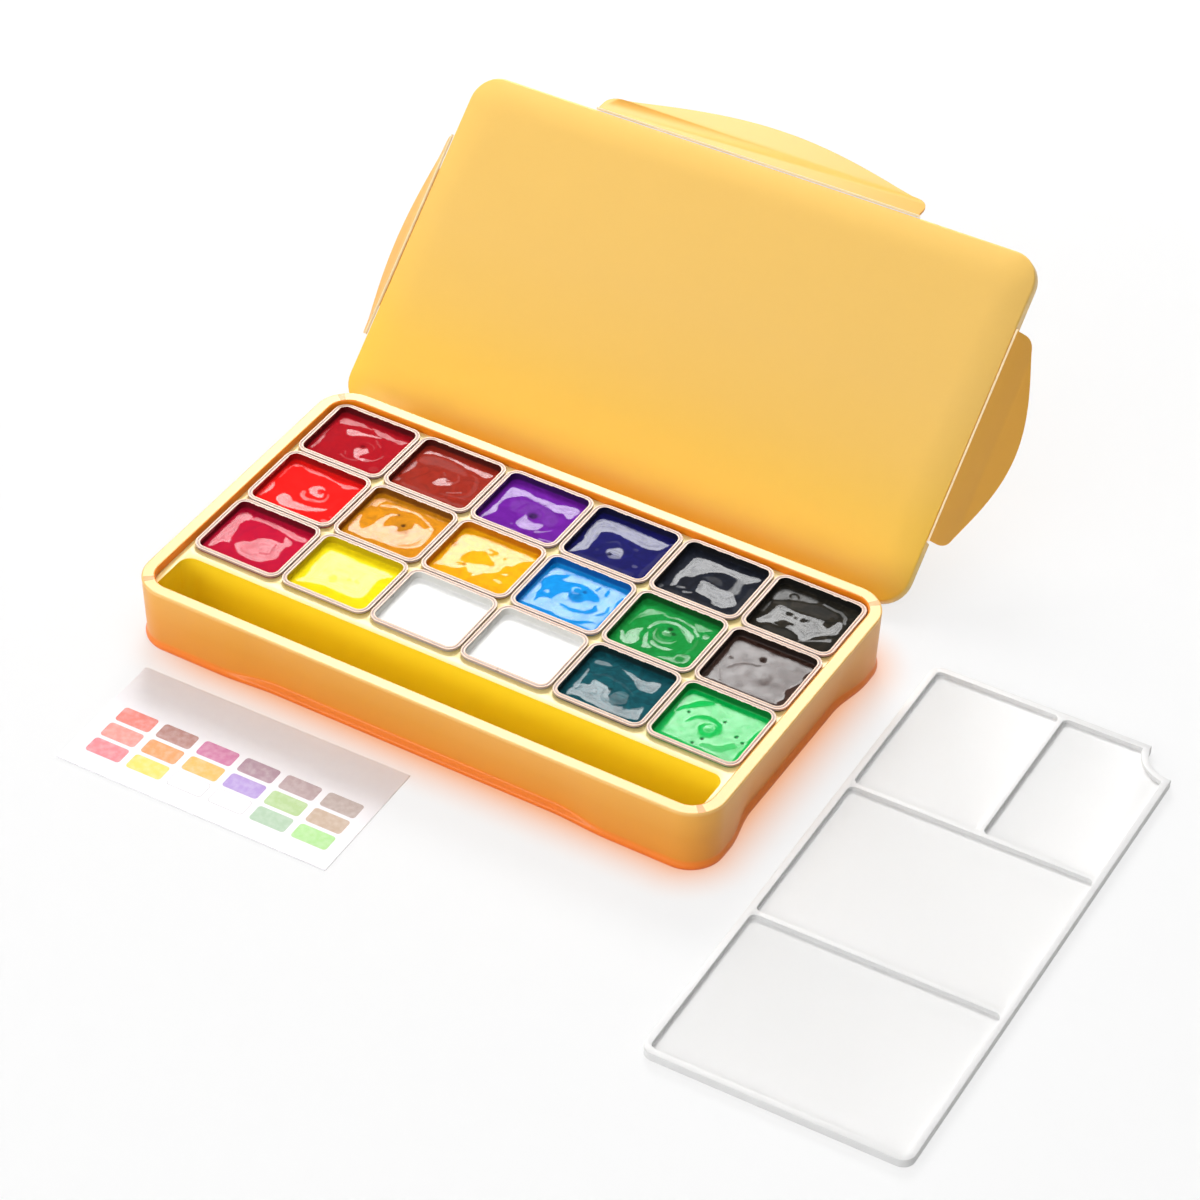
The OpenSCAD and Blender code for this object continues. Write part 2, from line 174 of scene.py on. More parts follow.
def polypropylene(name, code, shade, roughness=0.34, painted_tones=()):
    """Injection-moulded polypropylene: satin, a little waxy, with a fine spark-eroded grain. Tones
    give it other colours at some heights in mm: painted shade, bounce light and sheen that change with height."""
    material, tree, principled, place = new_material(name, {"IOR": 1.49})
    flow = add(tree, "ShaderNodeTexNoise", {"Vector": place, "Scale": 9.0, "Detail": 2.0})
    colour = blend_colours(tree, flow.outputs["Fac"], code, shade)
    # Painted light: a ramp of colours by height stands in for shade, bounce light and sheen.
    if painted_tones:
        height = add(tree, "ShaderNodeSeparateXYZ", {"Vector": place}).outputs["Z"]
        top = painted_tones[-1][0]
        share = add(tree, "ShaderNodeMath", {0: height, 1: top * MM}, operation="DIVIDE").outputs[0]
        ramp = add(tree, "ShaderNodeValToRGB", {"Fac": share})
        steps = ramp.color_ramp.elements
        while len(steps) < len(painted_tones):
            steps.new(1.0)
        for step, (tone_height, tone) in zip(steps, painted_tones):
            step.position = tone_height / top
            step.color = srgb(tone)
        colour = blend_colours(tree, 0.85, colour, ramp.outputs["Color"])
    tree.links.new(colour, principled.inputs["Base Color"])
    grain = add(tree, "ShaderNodeTexNoise", {"Vector": place, "Scale": 1400.0, "Detail": 2.0})
    rough = add(tree, "ShaderNodeMapRange", {"Value": grain.outputs["Fac"], "To Min": roughness - 0.05,
                                             "To Max": roughness + 0.05})
    tree.links.new(rough.outputs["Result"], principled.inputs["Roughness"])
    bump = add(tree, "ShaderNodeBump", {"Height": grain.outputs["Fac"], "Strength": 0.08, "Distance": 0.0002})
    tree.links.new(bump.outputs["Normal"], principled.inputs["Normal"])
    return material


def clear_polypropylene():
    """Thin natural polypropylene of the cups: milky. The tone attribute gives the body the colour of the
    paint behind it, darkened as painted shade under the flange, and greys the flange's sides and groove,
    partly from the paint showing through and partly as painted shade."""
    material, tree, principled, place = new_material("natural_polypropylene_cup", {
        "IOR": 1.49, "Transmission Weight": 0.12, "Specular IOR Level": 0.35})
    haze = add(tree, "ShaderNodeTexNoise", {"Vector": place, "Scale": 60.0, "Detail": 2.0})
    share = add(tree, "ShaderNodeMapRange", {"Value": haze.outputs["Fac"], "To Max": 0.12}).outputs["Result"]
    tone = add(tree, "ShaderNodeAttribute", attribute_name="tone").outputs["Color"]
    tree.links.new(blend_colours(tree, share, tone, "#FFF4EC"), principled.inputs["Base Color"])
    rough = add(tree, "ShaderNodeMapRange", {"Value": haze.outputs["Fac"], "To Min": 0.24, "To Max": 0.34})
    tree.links.new(rough.outputs["Result"], principled.inputs["Roughness"])
    return material


def gouache(number, code, streak, shade_code):
    """Wet gouache: saturated and matte where the spatula has broken it, glossy where it has flowed
    level again. The piece's gloss attribute says where. A second attribute blends the colour towards a
    darker one: painted shade on the thin smear up the cup's wall, in pits and on bumps."""
    material, tree, principled, place = new_material(f"wet_gouache_{number}", {
        "IOR": 1.45, "Specular IOR Level": 0.28})
    drift = add(tree, "ShaderNodeTexNoise", {"Vector": place, "Scale": 120.0, "Detail": 3.0,
                                             "Distortion": 2.0})
    mixing = add(tree, "ShaderNodeMapRange", {"Value": drift.outputs["Fac"], "From Min": 0.40,
                                              "From Max": 0.72})
    colour = blend_colours(tree, mixing.outputs["Result"], code, streak)
    film = add(tree, "ShaderNodeAttribute", attribute_name="film").outputs["Fac"]
    # Painted shade: the colour blends towards the darker one on the wall and in the pits.
    tree.links.new(blend_colours(tree, film, colour, shade_code), principled.inputs["Base Color"])
    gloss = add(tree, "ShaderNodeAttribute", attribute_name="gloss").outputs["Fac"]
    rough = add(tree, "ShaderNodeMapRange", {"Value": gloss, "To Min": 0.95, "To Max": 0.22})
    tree.links.new(rough.outputs["Result"], principled.inputs["Roughness"])
    comb = add(tree, "ShaderNodeTexNoise", {"Vector": place, "Scale": 1100.0, "Detail": 3.0,
                                            "Distortion": 1.0})
    bump = add(tree, "ShaderNodeBump", {"Height": comb.outputs["Fac"], "Strength": 0.06, "Distance": 0.0003})
    tree.links.new(bump.outputs["Normal"], principled.inputs["Normal"])
    return material


def polystyrene():
    """White injection-moulded polystyrene of the palette: hard and glossy, with faint flow marks."""
    material, tree, principled, place = new_material("white_polystyrene", {
        "IOR": 1.59, "Specular IOR Level": 0.35})
    flow = add(tree, "ShaderNodeTexNoise", {"Vector": place, "Scale": 14.0, "Detail": 2.0})
    tree.links.new(blend_colours(tree, flow.outputs["Fac"], "#E6E6E6", "#E9E9E8"),
                   principled.inputs["Base Color"])
    rough = add(tree, "ShaderNodeMapRange", {"Value": flow.outputs["Fac"], "To Min": 0.42, "To Max": 0.5})
    tree.links.new(rough.outputs["Result"], principled.inputs["Roughness"])
    return material


def coated_card():
    """Coated card: smooth, hardly glossy, with the faint cloud of its fibres."""
    material, tree, principled, place = new_material("coated_card", {"IOR": 1.45, "Roughness": 0.55})
    fibres = add(tree, "ShaderNodeTexNoise", {"Vector": place, "Scale": 220.0, "Detail": 5.0})
    tree.links.new(blend_colours(tree, fibres.outputs["Fac"], "#F4F3F6", "#F0EEF3"),
                   principled.inputs["Base Color"])
    return material


def printed_ink():
    """Matte ink of the samples: the ink attribute's colour, with the mottle of a hand-painted sample."""
    material, tree, principled, place = new_material("printed_ink", {"IOR": 1.45, "Roughness": 0.6})
    ink = add(tree, "ShaderNodeAttribute", attribute_name="ink").outputs["Color"]
    mottle = add(tree, "ShaderNodeTexNoise", {"Vector": place, "Scale": 320.0, "Detail": 4.0})
    share = add(tree, "ShaderNodeMapRange", {"Value": mottle.outputs["Fac"], "From Min": 0.4, "From Max": 0.7,
                                             "To Max": 0.16})
    tree.links.new(blend_colours(tree, share.outputs["Result"], ink, "#FFFFFF"),
                   principled.inputs["Base Color"])
    return material


# Painted bounce light: the board is coloured peach close to the case's foot, fading out towards the left end.
BOUNCE_TINT_REACH = 24 * MM        # how far the case's colour shows on the table
BOUNCE_TINT_LEFT = -165 * MM, -110 * MM    # it grows from faint to strong between these, from the left
BOUNCE_TINT_SHARE = 0.12, 0.8      # how strong it is at each
BOUNCE_TINT_FALL = 1.8             # power by which it fades away from the foot
TABLE_GLOW = 0.80           # share of the table that shows as plain white


def table_white(half_x, half_y, corner):
    """Matte white board. It shows white, keeps soft shadows, and close to the case's foot has a warm peach
    painted into its colour: painted bounce light from the case."""
    material, tree, principled, place = new_material("matte_white_board", {"Roughness": 0.8,
                                                                           "Specular IOR Level": 0.2})
    axes = add(tree, "ShaderNodeSeparateXYZ", {"Vector": place}).outputs
    past = []
    for axis, reach in (("X", half_x), ("Y", half_y)):
        span = add(tree, "ShaderNodeMath", {0: axes[axis]}, operation="ABSOLUTE").outputs[0]
        span = add(tree, "ShaderNodeMath", {0: span, 1: reach - corner}, operation="SUBTRACT").outputs[0]
        past.append(add(tree, "ShaderNodeMath", {0: span, 1: 0.0}, operation="MAXIMUM").outputs[0])
    square = [add(tree, "ShaderNodeMath", {0: p, 1: 2.0}, operation="POWER").outputs[0] for p in past]
    away = add(tree, "ShaderNodeMath", {0: square[0], 1: square[1]}, operation="ADD").outputs[0]
    away = add(tree, "ShaderNodeMath", {0: away}, operation="SQRT").outputs[0]
    near = add(tree, "ShaderNodeMapRange", {"Value": away, "From Min": corner + BOUNCE_TINT_REACH,
                                            "From Max": corner})
    bounce_tint = add(tree, "ShaderNodeMath", {0: near.outputs["Result"], 1: BOUNCE_TINT_FALL}, operation="POWER").outputs[0]
    grown = add(tree, "ShaderNodeMapRange", {
        "Value": axes["X"], "From Min": BOUNCE_TINT_LEFT[0], "From Max": BOUNCE_TINT_LEFT[1],
        "To Min": BOUNCE_TINT_SHARE[0], "To Max": BOUNCE_TINT_SHARE[1]}, interpolation_type="SMOOTHSTEP")
    bounce_tint = add(tree, "ShaderNodeMath", {0: bounce_tint, 1: grown.outputs["Result"]}, operation="MULTIPLY").outputs[0]
    # Painted bounce light round the foot, in the board's colour and in its glow.
    colour = blend_colours(tree, bounce_tint, "#FBFBFB", "#FFAE70")
    tree.links.new(colour, principled.inputs["Base Color"])
    glow = add(tree, "ShaderNodeEmission", {"Color": colour, "Strength": 1.0})
    path = add(tree, "ShaderNodeLightPath").outputs
    seen = path["Is Camera Ray"]
    for other in ("Is Glossy Ray", "Is Transmission Ray"):
        seen = add(tree, "ShaderNodeMath", {0: seen, 1: path[other]}, operation="MAXIMUM").outputs[0]
    share = add(tree, "ShaderNodeMath", {0: seen, 1: TABLE_GLOW}, operation="MULTIPLY").outputs[0]
    mixed = add(tree, "ShaderNodeMixShader", {0: share, 1: principled.outputs[0], 2: glow.outputs[0]})
    tree.links.new(mixed.outputs[0], tree.nodes["Material Output"].inputs["Surface"])
    return material


# ---- Modelling helpers ----

def deselect():
    bpy.ops.object.select_all(action="DESELECT")


def activate(piece):
    deselect()
    piece.select_set(True)
    bpy.context.view_layer.objects.active = piece


def pick(kind, test):
    """Selects only those faces, edges or verts of the mesh in edit mode that pass the test."""
    bpy.ops.mesh.select_mode(type={"faces": "FACE", "edges": "EDGE", "verts": "VERT"}[kind])
    bpy.ops.mesh.select_all(action="DESELECT")
    data = bpy.context.object.data
    mesh = bmesh.from_edit_mesh(data)
    for item in getattr(mesh, kind):
        if test(item):
            item.select_set(True)
    mesh.select_flush_mode()
    bmesh.update_edit_mesh(data)


def is_upright(edge):
    a, b = (vert.co for vert in edge.verts)
    return abs(a.x - b.x) + abs(a.y - b.y) < 1e-6 < abs(a.z - b.z)


def faces_up_at(z):
    return lambda face: face.normal.z > 0.9 and abs(face.calc_center_median().z - z) < 2e-5


def rounded_block(name, low, high, radius, segments):
    """Blank of a moulded piece: a block from corner to corner with rounded upright edges, left in
    edit mode."""
    deselect()
    bpy.ops.mesh.primitive_cube_add(size=1, location=(low + high) / 2)
    piece = bpy.context.object
    piece.name = piece.data.name = name
    piece.scale = high - low
    bpy.ops.object.transform_apply(location=True, rotation=True, scale=True)
    bpy.ops.object.mode_set(mode="EDIT")
    pick("edges", is_upright)
    bpy.ops.mesh.bevel(offset=radius, segments=segments, affect="EDGES")
    return piece


def cut_across(axis, places):
    """Cuts the whole mesh in edit mode square to an axis at each of the places."""
    normal = [0, 0, 0]
    normal[axis] = 1
    for place in places:
        point = [0, 0, 0]
        point[axis] = place
        bpy.ops.mesh.select_all(action="SELECT")
        bpy.ops.mesh.bisect(plane_co=point, plane_no=normal)


def extrude_to(z, centre, size, new_size):
    """Extrudes the selected level face to height z and resizes it about the centre."""
    mesh = bmesh.from_edit_mesh(bpy.context.object.data)
    now = next(vert.co.z for vert in mesh.verts if vert.select)
    bpy.ops.mesh.extrude_region_move(TRANSFORM_OT_translate={"value": (0, 0, z - now)})
    bpy.ops.transform.resize(value=(new_size[0] / size[0], new_size[1] / size[1], 1),
                             center_override=(centre[0], centre[1], z))


def leave_edit(piece, smooth_angle=35):
    """Back to object mode, outward normals, smooth shading up to the angle."""
    bpy.ops.mesh.select_all(action="SELECT")
    bpy.ops.mesh.remove_doubles(threshold=2e-6)
    bpy.ops.mesh.normals_make_consistent(inside=False)
    bpy.ops.object.mode_set(mode="OBJECT")
    smooth(piece, smooth_angle)


def smooth(piece, angle):
    activate(piece)
    bpy.ops.object.shade_smooth_by_angle(angle=math.radians(angle))


def soften(piece, width, segments=3, angle=40):
    """Rounds every sharp edge of the piece."""
    bevel = piece.modifiers.new("edge_rounding", "BEVEL")
    bevel.width = width
    bevel.segments = segments
    bevel.limit_method = "ANGLE"
    bevel.angle_limit = math.radians(angle)
    bevel.harden_normals = False
    activate(piece)
    bpy.ops.object.modifier_apply(modifier=bevel.name)
    smooth(piece, angle)


def copy_of_node(node, name):
    """A merged copy of a CAD node, with its flat faces made whole again."""
    piece = frame["nodes"][node].copy()
    piece.data = frame["nodes"][node].data.copy()
    piece.name = piece.data.name = name
    piece.parent = None
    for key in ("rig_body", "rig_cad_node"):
        del piece[key]
    bpy.context.scene.collection.objects.link(piece)
    activate(piece)
    bpy.ops.object.mode_set(mode="EDIT")
    bpy.ops.mesh.select_all(action="SELECT")
    bpy.ops.mesh.remove_doubles(threshold=2e-6)
    bpy.ops.mesh.dissolve_limited(angle_limit=math.radians(0.3))
    bpy.ops.object.mode_set(mode="OBJECT")
    return piece


def dress(piece, body, nodes, slot, *materials):
    """Gives a finished piece its materials and says what it rides on and stands for."""
    piece.data.materials.clear()
    for material in materials:
        piece.data.materials.append(material)
    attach(piece, body)
    if nodes:
        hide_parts(*nodes)


# ---- Case ----

CASE_CORNER = 18 * MM
CASE_RIM = 6.5 * MM
CASE_LEDGE = 1.5 * MM
CASE_FLOOR = 2.4 * MM
DECK_PLATE = 1.6 * MM
# depth of a scoop in the wall, half length of its flat stretch, where it has ended
LONG_SCOOP = (4.8 * MM, 75 * MM, 106 * MM)
SHORT_SCOOP = (5.4 * MM, 40 * MM, 66 * MM)
NO_SCOOP = (0, 1, 2)
WALL_DRAFT = 1.3 * MM
FOOT_LONG_SCOOP = (1.8 * MM, 75 * MM, 106 * MM)
FOOT_SHORT_SCOOP = (3.8 * MM, 40 * MM, 66 * MM)
FOOT_DRAFT = 0.3 * MM
FOOT_ROUNDING = 2 * MM
FOOT_STEP = (2.8 * MM, 5.2 * MM)    # the step from the foot up to the wall


def drawn_in(along, scoop):
    """How far a wall is drawn in, at a place along it."""
    depth, flat, end = scoop
    t = min(1, max(0, (abs(along) - flat) / (end - flat)))
    return depth * (1 - t * t * (3 - 2 * t))


def bend_places(scoop, steps):
    """Places along a wall where its scoop bends."""
    flat, end = scoop[1:]
    places = [flat + (end - flat) * k / steps for k in range(steps + 1)]
    return [-p for p in reversed(places)] + places


def wall_inset(rise, tall, along, foot_scoop, scoop):
    """How far the wall stands inside the rim's edge, at a height and a place along it."""
    t = min(1, max(0, (rise - FOOT_STEP[0]) / (FOOT_STEP[1] - FOOT_STEP[0])))
    wall = t * t * (3 - 2 * t)
    down = 1 - rise / tall
    rounding = 0
    if rise < FOOT_ROUNDING:
        rounding = FOOT_ROUNDING - math.sqrt(FOOT_ROUNDING ** 2 - (FOOT_ROUNDING - rise) ** 2)
    foot = FOOT_DRAFT + rounding + drawn_in(along, foot_scoop)
    return foot * (1 - wall) + (WALL_DRAFT + drawn_in(along, scoop)) * down * wall


def make_case(material, inside, recess):
    """The case: foot, scooped walls, flat rim, recess for the deck and the hollow under it."""
    low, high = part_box("base_shell")
    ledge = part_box("cup_deck")[1].z - DECK_PLATE
    case = rounded_block("case_shell", low, high, CASE_CORNER, 14)
    cut_across(0, bend_places(LONG_SCOOP, 10))
    cut_across(1, bend_places(SHORT_SCOOP, 10))
    cut_across(2, [low.z + FOOT_ROUNDING * (1 - math.cos(math.radians(a))) for a in (25, 50, 70, 90)])
    steps = 6
    cut_across(2, [low.z + FOOT_STEP[0] + (FOOT_STEP[1] - FOOT_STEP[0]) * k / steps
                   for k in range(steps + 1)])
    mesh = bmesh.from_edit_mesh(case.data)
    for vert in mesh.verts:
        corner = Vector((math.copysign(max(0, abs(vert.co.x) - (high.x - CASE_CORNER)), vert.co.x),
                         math.copysign(max(0, abs(vert.co.y) - (high.y - CASE_CORNER)), vert.co.y)))
        if corner.length == 0:
            continue
        corner.normalize()
        along, foot_scoop, scoop = 0, NO_SCOOP, NO_SCOOP
        if abs(abs(vert.co.y) - high.y) < 1e-5:
            along, foot_scoop, scoop = vert.co.x, FOOT_LONG_SCOOP, LONG_SCOOP
        elif abs(abs(vert.co.x) - high.x) < 1e-5:
            along, foot_scoop, scoop = vert.co.y, FOOT_SHORT_SCOOP, SHORT_SCOOP
        inset = wall_inset(vert.co.z - low.z, high.z - low.z, along, foot_scoop, scoop)
        vert.co.x -= corner.x * inset
        vert.co.y -= corner.y * inset
    bmesh.update_edit_mesh(case.data)
    pick("faces", faces_up_at(high.z))
    bpy.ops.mesh.inset(thickness=CASE_RIM, use_boundary=True)
    bpy.ops.mesh.extrude_region_move(TRANSFORM_OT_translate={"value": (0, 0, ledge - high.z)})
    bpy.ops.mesh.inset(thickness=CASE_LEDGE, use_boundary=True)
    bpy.ops.mesh.extrude_region_move(TRANSFORM_OT_translate={"value": (0, 0, low.z + CASE_FLOOR - ledge)})
    leave_edit(case)
    soften(case, 0.8 * MM, 3)
    dress(case, "case", ["base_shell"], "case_plastic", material, inside, recess)
    # Inside the rim: the hollow under the deck takes the lighter yellow of painted glow, and the recess wall
    # above the ledge a deeper orange, painted shade.
    for face in case.data.polygons:
        within = (abs(face.center.x) < high.x - CASE_RIM + 0.3 * MM
                  and abs(face.center.y) < high.y - CASE_RIM + 0.3 * MM)
        if within and face.center.z > low.z + CASE_FLOOR / 2:
            face.material_index = 1 if face.center.z < ledge - 0.1 * MM else 2


def make_deck(material, top_sheen_material):
    deck = copy_of_node("cup_deck", "deck_plate")
    soften(deck, 0.35 * MM, 2)
    dress(deck, "case", ["cup_deck"], "deck_plastic", material, top_sheen_material)
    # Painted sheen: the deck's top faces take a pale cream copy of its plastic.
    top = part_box("cup_deck")[1].z
    for face in deck.data.polygons:
        face.material_index = int(face.center.z > top - 0.4 * MM)


# ---- Cups ----

FLANGE_RING = 2.3           # mm, from the flange's edge to the opening
FLANGE_CORNER = 6.2 * MM
FLANGE_GROOVE = 0.35        # mm deep, between the flange's two beads
FLANGE_DEPTH = 1.15         # mm from the flange's top to where the paint shows through
# The paint seen through the body is darkened by this share, as painted shade under the flange; the second
# colour below, on the flange's sides and groove, is partly the paint seen through the plastic and partly
# painted shade.
PAINT_BEHIND_SHADED = 0.55         # share of the paint's colour that shows through the body
FLANGE_TONE, SIDE_SHADE_TONE = "#F2D2B8", "#BBA8AC"


def model_cup():
    """The first cup: tapered body, seat, flange with an outer and an inner bead, and the inside."""
    low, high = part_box("cup_01")
    centre = (low + high) / 2
    over = (high.x - low.x, high.y - low.y)

    def sized(inset):
        return (over[0] - 2 * inset * MM, over[1] - 2 * inset * MM)

    # inset from the flange's edge and height, up the outside
    outside = [(3.3, low.z), (1.3, high.z - 2.1 * MM), (0.4, high.z - 2.1 * MM), (0.4, high.z - 1.2 * MM),
               (0.0, high.z - 1.2 * MM), (0.0, high.z)]
    foot = sized(outside[0][0])
    first = 1 * MM
    cup = rounded_block("cup_blank", Vector((centre.x - foot[0] / 2, centre.y - foot[1] / 2, low.z)),
                        Vector((centre.x + foot[0] / 2, centre.y + foot[1] / 2, low.z + first)),
                        FLANGE_CORNER * foot[0] / over[0], 8)
    pick("faces", faces_up_at(low.z + first))
    now = foot
    for inset, z in outside[1:]:
        extrude_to(z, centre, now, sized(inset))
        now = sized(inset)
    for thickness, depth in ((0.75, 0), (0.15, -FLANGE_GROOVE), (0.5, 0), (0.15, FLANGE_GROOVE), (0.75, 0)):
        bpy.ops.mesh.inset(thickness=thickness * MM, depth=depth * MM)
    opening = sized(FLANGE_RING)
    extrude_to(low.z + 1.2 * MM, centre, opening, sized(4.3))
    leave_edit(cup)
    soften(cup, 0.22 * MM, 2, 30)
    return cup, centre


# ---- Paint ----

# Strokes lie on the paint's surface, in mm from the cup's middle: x to the right, y to the back.
# Each has its gloss (0 broken and matte, 1 level and glossy), the width of its edge, its height,
# and its points: with the stroke's width at each, or without it as the outline of a patch.

def dab(gloss, *points, edge=0.5, rise=0.08):
    """A stroke of the spatula through the points."""
    return gloss, edge, rise, points


def pool(gloss, *outline, edge=0.45, rise=0.05):
    """A patch that has flowed level, or stayed matte, inside an outline."""
    return gloss, edge, rise, outline


def arc(gloss, x, y, radius, start, end, width, edge=0.5, rise=0.08):
    """A stroke that turns round a place, from one angle to the other, and thins out at both ends."""
    steps = max(3, round(abs(end - start) / 22))
    points = []
    for k in range(steps + 1):
        a = math.radians(start + (end - start) * k / steps)
        points.append((x + radius * math.cos(a), y + radius * math.sin(a),
                       width * (0.4 + 0.6 * math.sin(math.pi * k / steps))))
    return gloss, edge, rise, points


def spot(gloss, x, y, radius, edge=0.6, rise=0.1):
    return gloss, edge, rise, [(x, y, 2 * radius), (x + 0.2, y, 2 * radius)]
